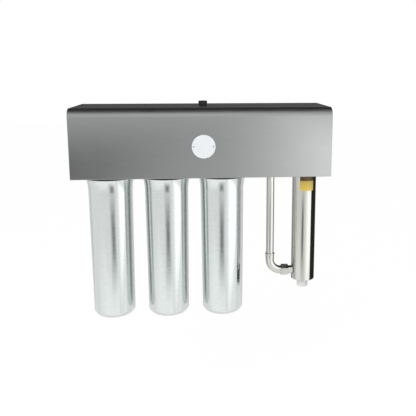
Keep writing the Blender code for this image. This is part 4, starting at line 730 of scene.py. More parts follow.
def make_cover(sizes):
    """Bends the cover's sheet: front, bend, top, cheeks, hem and rear folds."""
    low, high, centre = span("cover")
    deselect()
    bpy.ops.mesh.primitive_cube_add(size=1, location=centre, scale=high - low)
    cover = begin("cover_shell")

    def front_foot(item):
        return middle(item).y < low.y + CLOSE and middle(item).z < low.z + CLOSE

    def cheek(item, edge_x):
        return abs(middle(item).x - edge_x) < CLOSE

    pick(cover, "EDGE", lambda edge: middle(edge).y < low.y + CLOSE and middle(edge).z > high.z - CLOSE)
    bpy.ops.mesh.bevel(offset=sizes.bend, segments=20)
    pick(cover, "FACE", lambda face: face.normal.z < -0.9 or face.normal.y > 0.9)
    bpy.ops.mesh.delete(type="FACE")
    pick(cover, "EDGE", lambda edge: not edge.is_boundary and (cheek(edge, low.x) or cheek(edge, high.x)))
    bpy.ops.mesh.bevel(offset=sizes.corner, segments=4)
    pick(cover, "EDGE", lambda edge: edge.is_boundary and front_foot(edge))
    extrude(Y * sizes.hem)
    pick(cover, "EDGE", lambda edge: not edge.is_boundary and front_foot(edge))
    bpy.ops.mesh.bevel(offset=sizes.hem_bend, segments=4)
    for side, edge_x in ((1, low.x), (-1, high.x)):
        pick(cover, "EDGE", lambda edge: edge.is_boundary and middle(edge).y > high.y - CLOSE and cheek(edge, edge_x))
        extrude(X * side * sizes.fold)
    close_up(cover)
    modify(cover, "SOLIDIFY", thickness=sizes.sheet, offset=-1, use_even_offset=True)
    line_y = span("inlet_nipple")[2].y
    for side, edge_x in ((-1, low.x), (1, high.x)):
        near, far = sorted((edge_x - side * 3 * sizes.sheet, edge_x + side * OVER))
        straight = block("slot", (near, line_y - sizes.slot, low.z - OVER), (far, line_y + sizes.slot, 0))
        combine(cover, "DIFFERENCE", rod("slot_end", (0, line_y, 0), sizes.slot, near, far, 64, X), straight)
    knob = span("cover_knob")[2]
    hole = rod("hole", (knob.x, knob.y, 0), sizes.hole, high.z - 2 * OVER, high.z + OVER)
    combine(cover, "DIFFERENCE", hole)
    smooth(cover, 30, 0.25 * MM)
    settle(cover, "cover", "satin", "cover")


def make_knob(sizes):
    """Shapes the fluted knob, its foot and its stud."""
    low, high, centre = span("cover_knob")
    axis = Vector((centre.x, centre.y, 0))
    foot = span("cover")[1].z + SEAT
    step, edge = foot + sizes.knob_step, sizes.knob_edge
    face = high.z - 0.5 * MM
    outline = [(0, foot), (sizes.knob_foot, foot), (sizes.knob_foot, step)]
    outline += arc((sizes.knob - edge, step + edge), edge, -90, 0, 5)
    outline += arc((sizes.knob - edge, high.z - edge), edge, 0, 90, 6)
    outline += [(sizes.knob * 0.66, high.z), (sizes.knob * 0.62, face), (0, face)]
    knob = turn("knob_grip", axis, outline, sizes.flutes * 12)
    radius = 3 * sizes.flute
    for i in range(sizes.flutes):
        angle = math.tau * i / sizes.flutes
        out = Vector((math.cos(angle), math.sin(angle), 0)) * (sizes.knob + radius - sizes.flute)
        combine(knob, "DIFFERENCE", rod("flute", axis + out, radius, step - OVER, high.z + OVER, 32))
    combine(knob, "UNION", rod("stud", axis, sizes.stud, low.z, foot + OVER, 32))
    smooth(knob, 35, 0.2 * MM)
    settle(knob, "knob", "knob", "cover_knob")


def make_badge(sizes):
    """Presses the bare badge and its two domed rivets."""
    low, high, centre = span("badge")
    radius, thick, edge = (high.z - low.z) / 2, high.y - low.y, sizes.badge_edge
    outline = [(0, 0), (radius, 0)] + arc((radius - edge, thick - edge), edge, 0, 90, 6) + [(0, thick)]
    badge = turn("badge_plate", (centre.x, high.y, centre.z), outline, 128, -Y)
    smooth(badge, 30)
    settle(badge, "cover", "enamel", "badge")
    for side in ("left", "right"):
        rivet_low, rivet_high, place = span(f"badge_rivet_{side}")
        head = [(x * sizes.rivet, SEAT + y * sizes.rivet_rise) for x, y in arc((0, 0), 1, 90, 0, 6)]
        tail = low.y - rivet_high.y
        outline = head + [(sizes.rivet_shank, SEAT), (sizes.rivet_shank, tail), (0, tail)]
        rivet = turn(f"rivet_{side}", (place.x, low.y, place.z), outline, 32, -Y)
        smooth(rivet, 40)
        settle(rivet, "cover", "zinc", f"badge_rivet_{side}")


def flare_out(sizes, rise):
    """How far a housing's flare stands out at a height above its start."""
    return sizes.flare_arc - math.sqrt(sizes.flare_arc**2 - rise**2)


def housing_outline(sizes, foot, top):
    """Half section of a housing: up its outside, over its rim and down its inside."""
    steps = 14
    bend = (sizes.foot - sizes.corner, foot + sizes.crown + sizes.corner)
    rises = [(sizes.flare - sizes.rim_thick) * i / steps for i in range(steps + 1)]
    flare = [(sizes.neck + flare_out(sizes, rise), top - sizes.flare + rise) for rise in rises]
    bottom = [(sizes.flat / 2, foot), (sizes.flat, foot + sizes.crown / 12)]
    roll = sizes.rim_thick / 2
    rim = arc((sizes.rim - roll, top - roll), roll, -90, 90, 8)
    throat = flare[-1][0] - sizes.wall
    outside = [(0, foot)] + bottom + arc(bend, sizes.corner, -84, 0, steps) + flare + rim
    inside = [(throat + roll, top), (throat, top - roll)]
    inside += [(radius - sizes.wall, height) for radius, height in reversed(flare)]
    inside += arc(bend, sizes.corner - sizes.wall, 0, -84, steps)
    inside += [(radius, height + sizes.wall) for radius, height in reversed(bottom)]
    return outside + inside + [(0, foot + sizes.wall)]


def make_housings(sizes):
    """Draws one steel housing and copies it for the others."""
    low, high, centre = span("sump_1")
    first = turn("housing_shell_1", (centre.x, centre.y, 0), housing_outline(sizes, low.z, high.z), 160)
    smooth(first, 40)
    for k, shell in repeat(first, "housing_shell_{}", "sump_{}", HOUSINGS):
        settle(shell, f"housing_{k}", "drawn", f"sump_{k}")


def make_rings(sizes):
    """Moulds one ribbed lock ring and copies it for the others."""
    low, high, centre = span("lock_ring_1")
    axis = Vector((centre.x, centre.y, 0))
    lip = sizes.neck + flare_out(sizes, sizes.flare - sizes.rim_thick) + 2 * SEAT
    lip_top = span("sump_1")[1].z - sizes.rim_thick - SEAT
    bore, edge, outer = sizes.skirt + SEAT, sizes.ring_edge, sizes.ring
    outline = [(lip, low.z), (outer - edge, low.z), (outer, low.z + edge), (outer, low.z + 3 * edge)]
    outline += [(outer, high.z - 3 * edge), (outer, high.z - edge), (outer - edge, high.z), (bore, high.z)]
    outline += [(bore, lip_top), (lip, lip_top), (lip, low.z)]
    first = turn("ring_moulding_1", axis, outline, sizes.ring_ribs * 12)
    choose(first, edit=True)
    each = math.tau / sizes.ring_ribs

    def on_rib(face):
        """Upright faces of the outside that lie under a rib."""
        place = middle(face) - axis
        along = math.atan2(place.y, place.x) / each
        tall = low.z + 2.5 * edge < place.z < high.z - 2.5 * edge
        return tall and place.to_2d().length > outer - edge and abs(along - round(along)) < 0.2

    pick(first, "FACE", on_rib)
    extrude(Vector())
    widen(1 + 0.9 * sizes.ring_rib / outer, Z, axis)
    close_up(first)
    smooth(first, 30, 0.4 * MM)
    for k, ring in repeat(first, "ring_moulding_{}", "lock_ring_{}", HOUSINGS):
        settle(ring, f"collar_{k}", "ring", f"lock_ring_{k}")


def make_heads(sizes, pipes):
    """Moulds one filter head with its ports and ribs, and copies it for the others."""
    low, high, centre = span("filter_head_1")
    axis = Vector((centre.x, centre.y, 0))
    roof, skirt_top = -sizes.bowl_roof, -sizes.skirt_top
    crown = (sizes.head - sizes.head_round, high.z - sizes.head_round)
    spout_foot, spout_top = roof - sizes.spout_length, roof - 6 * MM
    outline = [(0, spout_top), (sizes.spout_bore, spout_top), (sizes.spout_bore, spout_foot)]
    outline += [(sizes.spout, spout_foot), (sizes.spout, roof), (sizes.bowl, roof)]
    outline += [(sizes.bowl, low.z + sizes.bowl_flare), (sizes.bowl_mouth, low.z), (sizes.skirt, low.z)]
    outline += [(sizes.skirt, skirt_top), (sizes.head, skirt_top + sizes.shoulder)]
    outline += arc(crown, sizes.head_round, 0, 90, 8) + [(0, high.z)]
    head = turn("head_moulding_1", axis, outline, 120)
    line = (0, centre.y, 0)
    for side, face in ((-1, low.x), (1, high.x)):
        ends = sorted((centre.x + side * 0.7 * sizes.head, face))
        lip_ends = sorted((face - side * sizes.port_lip, face))
        port = rod("port", line, sizes.port - 1.5 * MM, *ends, 64, X)
        combine(head, "UNION", port, rod("port_lip", line, sizes.port, *lip_ends, 64, X))
        inner = sorted((face - side * 2 * sizes.port_lip, face + side * OVER))
        combine(head, "DIFFERENCE", rod("port_bore", line, pipes.thread + SEAT, *inner, 64, X))
    half = sizes.rib / 2
    for quarter in range(4):
        rib_low = axis + Vector((sizes.head - sizes.rib, -half, skirt_top))
        rib = block("rib", rib_low, axis + Vector((sizes.skirt - half, half, high.z - sizes.head_round)))
        choose(rib, edit=True)
        angle = math.pi / 4 + quarter * math.pi / 2
        bpy.ops.transform.rotate(value=angle, orient_axis="Z", center_override=axis)
        combine(head, "UNION", rib)
    button_low, button_high, button = span("relief_button_1")
    well = rod("button_well", (button.x, button.y, 0), sizes.button_stem + SEAT, button_low.z, high.z + OVER, 32)
    combine(head, "DIFFERENCE", well)
    for k in SCREWS:
        foot, top, place = span(f"head_screw_1_{k}")
        bottom = foot.z - SEAT
        well = rod("screw_well", (place.x, place.y, 0), sizes.screw_shank + SEAT, bottom, high.z + OVER, 24)
        combine(head, "DIFFERENCE", well)
    smooth(head, 30, 0.6 * MM)
    for k, twin in repeat(head, "head_moulding_{}", "filter_head_{}", HOUSINGS):
        settle(twin, "unit", "head", f"filter_head_{k}")


def make_fasteners(sizes):
    """Turns one relief button and one hexagon screw and copies them."""
    low, high, centre = span("relief_button_1")
    axis = (centre.x, centre.y, 0)
    cap, dome = high.z - sizes.button_cap, sizes.button / 3
    outline = [(0, low.z), (sizes.button_stem, low.z), (sizes.button_stem, cap), (sizes.button, cap)]
    outline += arc((sizes.button - dome, high.z - dome), dome, 0, 90, 6) + [(0, high.z)]
    button = turn("button_1", axis, outline, 48)
    smooth(button, 40, 0.3 * MM)
    for k, twin in repeat(button, "button_{}", "relief_button_{}", HOUSINGS):
        settle(twin, f"relief_{k}", "button", f"relief_button_{k}")
    low, high, centre = span("head_screw_1_1")
    axis = (centre.x, centre.y, 0)
    head_foot = high.z - sizes.screw_head
    screw = nut_bar("screw_1_1", axis, sizes.screw, head_foot, high.z)
    combine(screw, "UNION", rod("shank", axis, sizes.screw_shank, low.z, head_foot + MM, 24))
    smooth(screw, 30, 0.2 * MM)
    names = [f"{k}_{j}" for k in HOUSINGS for j in SCREWS]
    for name, twin in repeat(screw, "screw_{}", "head_screw_{}", names):
        settle(twin, "unit", "zinc", f"head_screw_{name}")


def make_nipples(pipes):
    """Cuts the hexagon nipples between the heads and the one at the inlet."""
    low, high, centre = span("link_nipple_1")
    line, core = (0, centre.y, 0), pipes.nipple_bore - MM
    left, right = span("filter_head_1")[1].x + SEAT, span("filter_head_2")[0].x - SEAT
    link = nut_bar("link_1", line, pipes.nipple, left, right, X)
    combine(link, "UNION", threaded("threads", line, pipes.thread - SEAT, core, low.x, high.x, pipes.pitch, X))
    combine(link, "DIFFERENCE", rod("bore", line, pipes.nipple_bore, low.x - OVER, high.x + OVER, 64, X))
    smooth(link, 28)
    for k, twin in repeat(link, "link_{}", "link_nipple_{}", (1, 2)):
        settle(twin, "unit", "mirror", f"link_nipple_{k}")
    low, high, centre = span("inlet_nipple")
    hex_right = span("filter_head_1")[0].x - SEAT
    hex_left = hex_right - pipes.nipple_hexagon
    inlet = nut_bar("inlet", line, pipes.nipple, hex_left, hex_right, X)
    screwed = threaded("thread", line, pipes.thread, core, low.x, hex_left + MM, pipes.pitch, X)
    stem = rod("stem", line, pipes.thread - SEAT, hex_right - MM, high.x, 64, X)
    combine(inlet, "UNION", screwed, stem)
    combine(inlet, "DIFFERENCE", rod("bore", line, pipes.nipple_bore, low.x - OVER, high.x + OVER, 64, X))
    smooth(inlet, 28)
    settle(inlet, "unit", "mirror", "inlet_nipple")


def bead(sizes, steps=8):
    """Legs of a tube that swells into a press socket's bead."""
    legs, along = [], 0
    for i in range(1, steps + 1):
        angle = math.pi * i / steps
        next_along = sizes.bead_half * (1 - math.cos(angle))
        legs.append((next_along - along, sizes.socket + sizes.bead * math.sin(angle)))
        along = next_along
    return legs


def make_pipe_run(sizes):
    """Bends both elbows with their press sockets and cuts the pipe between them."""
    low, high, centre = span("down_pipe")
    bore = sizes.pipe - sizes.wall
    outline = [(sizes.pipe, low.z), (sizes.pipe, high.z), (bore, high.z), (bore, low.z), (sizes.pipe, low.z)]
    pipe = turn("pipe_tube", (centre.x, centre.y, 0), outline, 64)
    smooth(pipe, 30)
    settle(pipe, "unit", "mirror", "down_pipe")

    mouth = span("lower_elbow")[1]
    taper, flange = 3 * MM, sizes.tail_thick
    bend_start = span("union_nut")[2].z + sizes.bend
    rest = mouth.z - bend_start - 2 * sizes.bead_half - taper
    tail = mouth.x - flange - centre.x - sizes.bend
    legs = bead(sizes) + [(rest, sizes.socket), (taper, sizes.elbow), (sizes.bend, X)]
    legs += [(tail, sizes.elbow), (STEP, sizes.tail), (flange - STEP, sizes.tail)]
    lower = run_tube("lower_elbow_tube", (centre.x, centre.y, mouth.z), -Z, sizes.socket, legs, sizes.wall)
    smooth(lower, 35)
    settle(lower, "unit", "mirror", "lower_elbow")

    low, high, place = span("outlet_elbow")
    inside = span("filter_head_3")[1].x + SEAT - low.x
    straight = centre.x - sizes.bend - low.x - inside - sizes.collar_length - 2 * STEP
    drop = -sizes.bend - low.z - 2 * sizes.bead_half - taper
    legs = [(inside, sizes.elbow), (STEP, sizes.collar), (sizes.collar_length, sizes.collar), (STEP, sizes.elbow)]
    legs += [(straight, sizes.elbow), (sizes.bend, -Z), (taper, sizes.socket), (drop, sizes.socket)] + bead(sizes)
    upper = run_tube("outlet_elbow_tube", (low.x, centre.y, 0), X, sizes.elbow, legs, sizes.wall)
    smooth(upper, 35)
    settle(upper, "unit", "mirror", "outlet_elbow")


def make_union(sizes):
    """Cuts the union nut at the foot of the chamber."""
    low, high, centre = span("union_nut")
    line = (0, centre.y, centre.z)
    nut = nut_bar("union_nut_hexagon", line, sizes.nut, low.x, high.x, X)
    passage = rod("passage", line, sizes.elbow + SEAT, low.x - OVER, high.x + OVER, 64, X)
    pocket = rod("pocket", line, sizes.neck_thread + SEAT, low.x + sizes.nut_lip, high.x + OVER, 64, X)
    combine(nut, "DIFFERENCE", passage, pocket)
    smooth(nut, 28, 0.4 * MM)
    settle(nut, "union", "mirror", "union_nut")


def make_chamber(sizes):
    """Rolls the lamp chamber with its ends, bosses, inlet neck and outlet."""
    low, high, centre = span("uv_chamber")
    nut = span("uv_top_nut")[2]
    foot, top = low.z + sizes.boss_height, high.z - sizes.boss_height
    edge, wall, bore = sizes.chamber_edge, sizes.chamber_wall, sizes.boss_bore
    inner, end = sizes.chamber - wall, 2 * wall
    outline = [(bore, low.z), (sizes.boss, low.z), (sizes.boss, foot)]
    outline += arc((sizes.chamber - edge, foot + edge), edge, -90, 0, 6)
    outline += arc((sizes.chamber - edge, top - edge), edge, 0, 90, 6)
    outline += [(sizes.boss, top), (sizes.boss, high.z), (bore, high.z), (bore, top - end)]
    outline += [(inner, top - end), (inner, foot + end), (bore, foot + end), (bore, low.z)]
    chamber = turn("chamber_tube", (nut.x, nut.y, 0), outline, 192)
    inlet = (0, nut.y, span("union_nut")[2].z)
    side = nut.x - sizes.chamber
    neck = rod("neck", inlet, sizes.neck, low.x, side + end, 64, X)
    collar = rod("neck_thread", inlet, sizes.neck_thread, low.x, low.x + sizes.neck_length, 64, X)
    combine(chamber, "UNION", neck, collar)
    combine(chamber, "DIFFERENCE", rod("neck_bore", inlet, sizes.neck_bore, low.x - OVER, side + 2 * end, 64, X))
    outlet = (0, nut.y, 0)
    side = nut.x + sizes.chamber
    stub_end = high.x - sizes.thread_length
    stub = rod("outlet", outlet, sizes.thread - MM, side - end, stub_end + MM, 64, X)
    core = sizes.boss_bore - MM
    screwed = threaded("outlet_thread", outlet, sizes.thread, core, stub_end, high.x, sizes.pitch, X)
    combine(chamber, "UNION", stub, screwed)
    combine(chamber, "DIFFERENCE", rod("outlet_bore", outlet, sizes.boss_bore, side - 2 * end, high.x + OVER, 64, X))
    smooth(chamber, 32)
    settle(chamber, "unit", "mirror", "uv_chamber")


def make_label(sizes):
    """Cuts the label and lays it round the front of the chamber."""
    axis = span("uv_top_nut")[2]
    low, high = -sizes.label_foot, -sizes.label_top
    label = ring_at("chamber_label", (axis.x, axis.y, low), sizes.chamber + 2 * CLOSE, 192, Z)
    extrude(Z * (high - low))

    def spare(face):
        """Faces outside the label's width."""
        place = middle(face) - axis
        return place.y > 0 or not -sizes.label_left < place.x < sizes.label_right

    pick(label, "FACE", spare)
    bpy.ops.mesh.delete(type="FACE")
    close_up(label)
    modify(label, "SOLIDIFY", thickness=sizes.label_film, offset=1)
    smooth(label, 30)
    settle(label, "unit", "label")


def make_caps(sizes):
    """Moulds the ribbed cap under the chamber and cuts the gland nut on top."""
    low, high, centre = span("uv_foot_cap")
    axis = Vector((centre.x, centre.y, 0))
    cap_radius, edge, depth = sizes.cap, sizes.cap_edge, high.z - sizes.cap_depth
    outline = [(0, low.z + 0.6 * MM), (0.5 * cap_radius, low.z + 0.6 * MM), (0.56 * cap_radius, low.z)]
    outline += arc((cap_radius - edge, low.z + edge), edge, -90, 0, 6) + [(cap_radius, high.z - 2 * edge)]
    outline += arc((cap_radius - edge / 2, high.z - edge / 2), edge / 2, 0, 90, 4)
    outline += [(sizes.boss + SEAT, high.z), (sizes.boss + SEAT, depth), (0, depth)]
    cap = turn("foot_cap_moulding", axis, outline, sizes.cap_ribs * 10)
    choose(cap, edit=True)
    each = math.tau / sizes.cap_ribs

    def hollow(face):
        """Upright faces of the outside that lie between two ribs."""
        place = middle(face) - axis
        along = math.atan2(place.y, place.x) / each
        tall = low.z + edge < place.z < high.z - 2 * edge
        return tall and place.to_2d().length > cap_radius - SEAT and abs(along - round(along)) < 0.22

    pick(cap, "FACE", hollow)
    extrude(Vector())
    widen(1 - sizes.cap_rib / cap_radius, Z, axis)
    close_up(cap)
    smooth(cap, 35, 0.25 * MM)
    settle(cap, "foot_cap", "white", "uv_foot_cap")

    low, high, centre = span("uv_top_nut")
    axis = (centre.x, centre.y, 0)
    nut = nut_bar("gland_nut_hexagon", axis, sizes.gland, low.z, high.z)
    thread = rod("gland_bore", axis, sizes.boss + SEAT, low.z - OVER, high.z - sizes.gland_roof)
    combine(nut, "DIFFERENCE", thread, rod("lamp_hole", axis, sizes.gland_hole, low.z, high.z + OVER))
    smooth(nut, 28, 0.4 * MM)
    settle(nut, "top_nut", "zinc", "uv_top_nut")


def make_fittings():
    """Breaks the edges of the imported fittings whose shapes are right."""
    refined("wall_bracket", "unit", "bracket", 0.5 * MM)
    refined("cover_post", "unit", "zinc")
    refined("chamber_clamp", "unit", "zinc")
    refined("clamp_rod", "unit", "zinc")
    refined("lamp_supply", "unit", "supply", 0.8 * MM)
    refined("lamp_socket", "unit", "white", 0.5 * MM)
    refined("lamp_lead", "unit", "lead", 0, 60)


def dress_nodes():
    """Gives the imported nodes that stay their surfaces."""
    worn = {"quartz_sleeve": "quartz", "uv_lamp": "white"}
    for k in HOUSINGS:
        worn[f"sump_seal_{k}"] = "rubber"
        worn[f"cartridge_media_{k}"] = "pleats" if k == 1 else "wrap"
        worn[f"cartridge_top_cap_{k}"] = worn[f"cartridge_foot_cap_{k}"] = "cap"
    for node, coat_name in worn.items():
        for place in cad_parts[node].material_slots:
            place.material = coat(coat_name)


# Stage


def make_card(name, start_xy, end_xy, low, high, core, rim=None, share=0.0, corner=False):
    """An upright card that only mirrors see, of one brightness or softening toward its rim."""
    deselect()
    across = Vector(end_xy) - Vector(start_xy)
    spot = (Vector(start_xy) + Vector(end_xy)) / 2
    bpy.ops.mesh.primitive_plane_add(
        size=1,
        location=(spot.x, spot.y, (low + high) / 2),
        rotation=(math.pi / 2, 0, math.atan2(across.y, across.x)),
    )
    bpy.context.active_object.scale = (across.length, high - low, 1)
    light_card(name, core, core if rim is None else rim, share, corner)


def light_card(name, core, rim, share, corner=False):
    """Makes the plane just added glow in mirrors alone: core in its middle or first corner, rim beyond."""
    card = begin(name)
    bpy.ops.object.mode_set(mode="OBJECT")
    face, tree = blank_tree(f"{name}_face", bpy.data.materials)
    across, along, _ = add(tree, "ShaderNodeSeparateXYZ", {0: add(tree, "ShaderNodeTexCoord", out="UV")}).node.outputs
    offsets = []
    for place in (across, along):
        centred = add(tree, "ShaderNodeMath", {0: place, 1: 0.0 if corner else 0.5}, operation="SUBTRACT")
        offsets.append(add(tree, "ShaderNodeMath", {0: centred}, operation="ABSOLUTE"))
    farthest = add(tree, "ShaderNodeMath", {0: offsets[0], 1: offsets[1]}, operation="MAXIMUM")
    reach = 1.0 if corner else 0.5
    stops = {0: farthest, 1: share * reach, 2: reach, 3: core, 4: rim}
    strength = add(tree, "ShaderNodeMapRange", stops, interpolation_type="SMOOTHSTEP")
    light = add(tree, "ShaderNodeEmission", {"Color": (1, 1, 1, 1), "Strength": strength})
    add(tree, "ShaderNodeOutputMaterial", {"Surface": light})
    card.data.materials.append(face)
    card.visible_camera = card.visible_diffuse = card.visible_shadow = card.visible_transmission = False


def blank_tree(name, holder):
    """A new material or world with an empty node tree."""
    made = holder.new(name)
    made.use_nodes = True
    made.node_tree.nodes.clear()
    return made, made.node_tree


def make_world(sizes):
    """White to the camera, even light on matt surfaces, and a toned studio in mirrors."""
    world, tree = blank_tree("studio_air", bpy.data.worlds)
    bpy.context.scene.world = world
    way = add(tree, "ShaderNodeTexCoord", out="Generated")
    right, back, up = add(tree, "ShaderNodeSeparateXYZ", {"Vector": way}).node.outputs
    # Height of each direction, from -1 straight down to 1 straight up, and its tone.
    in_front = [(-1, 0.9), (-0.05, 0.85), (0.1, 0.95), (0.35, 1.0), (0.7, 0.66), (0.9, 0.15), (1, 0.04)]
    behind = [(-1, 0.6), (-0.05, 0.3), (0.05, 0.1), (0.3, 0.16), (0.5, 0.02), (1, 0.02)]
    halves = []
    for stops in (in_front, behind):
        share = add(tree, "ShaderNodeMapRange", {0: up, 1: -1.0, 2: 1.0})
        ramp = add(tree, "ShaderNodeValToRGB", {"Fac": share}).node
        elements = ramp.color_ramp.elements
        for height, tone in stops[1:-1]:
            elements.new((height + 1) / 2)
        for element, (height, tone) in zip(elements, stops):
            element.color = (tone, tone, tone, 1)
        halves.append(ramp.outputs["Color"])
    turned = add(tree, "ShaderNodeMapRange", {0: back, 1: -0.3, 2: 0.3})
    studio = add(tree, "ShaderNodeMix", {0: turned, 6: halves[0], 7: halves[1]}, 2, data_type="RGBA")
    boost = add(tree, "ShaderNodeMapRange", {0: right, 1: -0.25, 2: 0.3, 3: 1.05, 4: 1.15})
    toned = add(tree, "ShaderNodeBackground", {"Color": studio, "Strength": boost})
    white = add(tree, "ShaderNodeBackground", {"Color": (1, 1, 1, 1), "Strength": 1.0})
    plain = add(tree, "ShaderNodeBackground", {"Color": (1, 1, 1, 1), "Strength": sizes.plain})
    rays = add(tree, "ShaderNodeLightPath").node.outputs
    matt = add(tree, "ShaderNodeMixShader", {0: rays["Is Glossy Ray"], 1: plain, 2: toned})
    seen = add(tree, "ShaderNodeMath", {0: rays["Is Camera Ray"], 1: rays["Is Transmission Ray"]}, operation="MAXIMUM")
    whole = add(tree, "ShaderNodeMixShader", {0: seen, 1: matt, 2: white})
    add(tree, "ShaderNodeOutputWorld", {"Surface": whole})


def make_floor(sizes):
    """A pale floor that takes the shadow and shows white."""
    deselect()
    bpy.ops.mesh.primitive_plane_add(size=30, location=(0, 0, sizes.floor))
    floor = begin("studio_floor")
    bpy.ops.object.mode_set(mode="OBJECT")
    sweep, tree = blank_tree("white_paper_sweep", bpy.data.materials)
    paper = add(tree, "ShaderNodeBsdfDiffuse", {"Color": (0.9, 0.9, 0.9, 1)})
    glow = add(tree, "ShaderNodeEmission", {"Color": (1, 1, 1, 1), "Strength": 1.07})
    rays = add(tree, "ShaderNodeLightPath").node.outputs
    seen = add(tree, "ShaderNodeMath", {0: rays["Is Camera Ray"], 1: rays["Is Glossy Ray"]}, operation="MAXIMUM")
    share = add(tree, "ShaderNodeMath", {0: seen, 1: 0.85}, operation="MULTIPLY")
    whole = add(tree, "ShaderNodeMixShader", {0: share, 1: paper, 2: glow})
    add(tree, "ShaderNodeOutputMaterial", {"Surface": whole})
    floor.data.materials.append(sweep)


def make_lamp(sizes):
    """One broad soft lamp in front and above, left of the middle."""
    lamp = bpy.data.lights.new("front_softbox", "AREA")
    lamp.shape = "RECTANGLE"
    lamp.size, lamp.size_y = 2.0, 1.6
    lamp.energy = sizes.lamp
    box = bpy.data.objects.new("front_softbox", lamp)
    bpy.context.scene.collection.objects.link(box)
    box.location = (-0.7, -2.3, 1.5)
    box.rotation_euler = (Vector((0, 0, -0.1)) - box.location).to_track_quat("-Z", "Y").to_euler()
    box.visible_glossy = False


def make_camera(sizes):
    """Sets the camera where the photograph was taken from."""
    camera = bpy.data.cameras.new("photo_camera")
    camera.sensor_width = 36
    camera.lens = sizes.focal
    camera.shift_x, camera.shift_y = -0.0778, -0.0967
    camera.clip_end = 60
    holder = bpy.data.objects.new("photo_camera", camera)
    bpy.context.scene.collection.objects.link(holder)
    holder.location = sizes.eye
    holder.rotation_euler = (math.pi / 2 - sizes.tilt, 0, -sizes.heading)
    bpy.context.scene.camera = holder


# Operators and panel


class FILTER_OT_cover(bpy.types.Operator):
    """Bend the cover, shape its knob and press its badge"""

    bl_idname = "water_filter.cover"
    bl_label = "Cover, knob and badge"

    def execute(self, context):
        make_cover(context.scene.filter_cover)
        make_knob(context.scene.filter_cover)
        make_badge(context.scene.filter_cover)
        return {"FINISHED"}


class FILTER_OT_housings(bpy.types.Operator):
    """Draw the three steel housings and mould their lock rings"""

    bl_idname = "water_filter.housings"
    bl_label = "Housings and lock rings"

    def execute(self, context):
        make_housings(context.scene.filter_housing)
        make_rings(context.scene.filter_housing)
        return {"FINISHED"}


class FILTER_OT_heads(bpy.types.Operator):
    """Mould the three heads and make their buttons, screws and nipples"""

    bl_idname = "water_filter.heads"
    bl_label = "Heads and fasteners"

    def execute(self, context):
        make_heads(context.scene.filter_housing, context.scene.filter_pipes)
        make_fasteners(context.scene.filter_housing)
        make_nipples(context.scene.filter_pipes)
        return {"FINISHED"}


class FILTER_OT_pipes(bpy.types.Operator):
    """Bend the elbows, cut the pipe and make the union nut"""

    bl_idname = "water_filter.pipes"
    bl_label = "Pipes and union"

    def execute(self, context):
        make_pipe_run(context.scene.filter_pipes)
        make_union(context.scene.filter_pipes)
        return {"FINISHED"}


class FILTER_OT_chamber(bpy.types.Operator):
    """Roll the lamp chamber, lay its label and make its caps"""

    bl_idname = "water_filter.chamber"
    bl_label = "Lamp chamber, label and caps"

    def execute(self, context):
        make_chamber(context.scene.filter_pipes)
        make_label(context.scene.filter_pipes)
        make_caps(context.scene.filter_pipes)
        return {"FINISHED"}


class FILTER_OT_fittings(bpy.types.Operator):
    """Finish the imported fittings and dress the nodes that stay"""

    bl_idname = "water_filter.fittings"
    bl_label = "Fittings and inner pieces"

    def execute(self, context):
        make_fittings()
        dress_nodes()
        return {"FINISHED"}


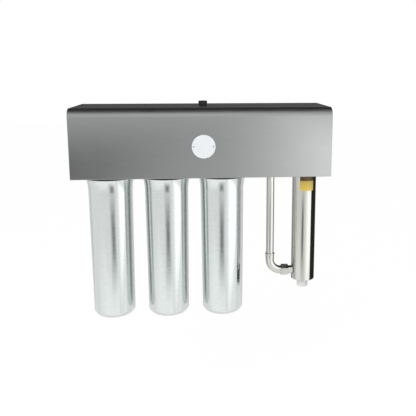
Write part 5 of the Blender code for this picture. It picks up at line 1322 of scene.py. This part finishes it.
class FILTER_OT_stage(bpy.types.Operator):
    """Build the white studio and set the camera"""

    bl_idname = "water_filter.stage"
    bl_label = "Studio and camera"

    def execute(self, context):
        sizes = context.scene.filter_stage
        make_world(sizes)
        make_floor(sizes)
        make_lamp(sizes)
        make_card("dark_figure", (-0.42, -1.34), (0.40, -1.34), -0.97, -0.33, sizes.streak, 1.0)
        make_card("left_flag", (-0.80, -0.456), (0.12, -0.456), -0.185, 0.13, sizes.shade, 0.78, 0.0, True)
        make_card("right_wing", (0.85, -0.456), (0.12, -0.456), -0.185, 0.22, sizes.wing, 0.9, 0.4, True)
        make_card("window", (0.33, -1.1), (2.5, -0.55), -1.2, 0.5, sizes.window, 1.0, 0.4)
        make_card("side_flag", (0.425, -0.195), (0.425, -0.085), -0.60, -0.10, sizes.flag)
        make_card("side_flag_rear", (0.425, -0.085), (0.385, -0.058), -0.60, -0.10, sizes.flag)
        make_card("rear_shade", (0.14, -0.03), (0.22, 0.08), -0.60, -0.10, 0.35)
        make_card("rear_wall", (-3.0, 1.0), (3.0, 1.0), -1.25, -0.05, sizes.rear)
        deselect()
        bpy.ops.mesh.primitive_plane_add(size=1, location=(0, -1.5, -1.29))
        bpy.context.active_object.scale = (7.0, 2.6, 1)
        light_card("ground_sheet", sizes.ground, 1.0, 0.3)
        make_camera(sizes)
        context.scene.view_settings.view_transform = "Standard"
        return {"FINISHED"}


STEPS = (
    FILTER_OT_cover,
    FILTER_OT_housings,
    FILTER_OT_heads,
    FILTER_OT_pipes,
    FILTER_OT_chamber,
    FILTER_OT_fittings,
    FILTER_OT_stage,
)


class FILTER_PT_panel(bpy.types.Panel):
    """Steps of the model, in order"""

    bl_idname = "FILTER_PT_panel"
    bl_label = "Water Filter"
    bl_space_type = "VIEW_3D"
    bl_region_type = "UI"
    bl_category = "Water Filter"

    def draw(self, context):
        for step in STEPS:
            self.layout.operator(step.bl_idname)
        for name, group in GROUPS.items():
            box = self.layout.box()
            for setting in group.__annotations__:
                box.prop(getattr(context.scene, name), setting)


GROUPS = {
    "filter_cover": FilterCover,
    "filter_housing": FilterHousing,
    "filter_pipes": FilterPipes,
    "filter_colours": FilterColours,
    "filter_stage": FilterStage,
}


def register():
    for name, group in GROUPS.items():
        bpy.utils.register_class(group)
        setattr(bpy.types.Scene, name, PointerProperty(type=group))
    for step in STEPS + (FILTER_PT_panel,):
        bpy.utils.register_class(step)


def unregister():
    for step in reversed(STEPS + (FILTER_PT_panel,)):
        bpy.utils.unregister_class(step)
    for name, group in GROUPS.items():
        delattr(bpy.types.Scene, name)
        bpy.utils.unregister_class(group)


def main():
    """Registers the add-on and runs its steps in order."""
    register()
    for step in STEPS:
        family, name = step.bl_idname.split(".")
        getattr(getattr(bpy.ops, family), name)()
    deselect()


if __name__ == "__main__":
    main()
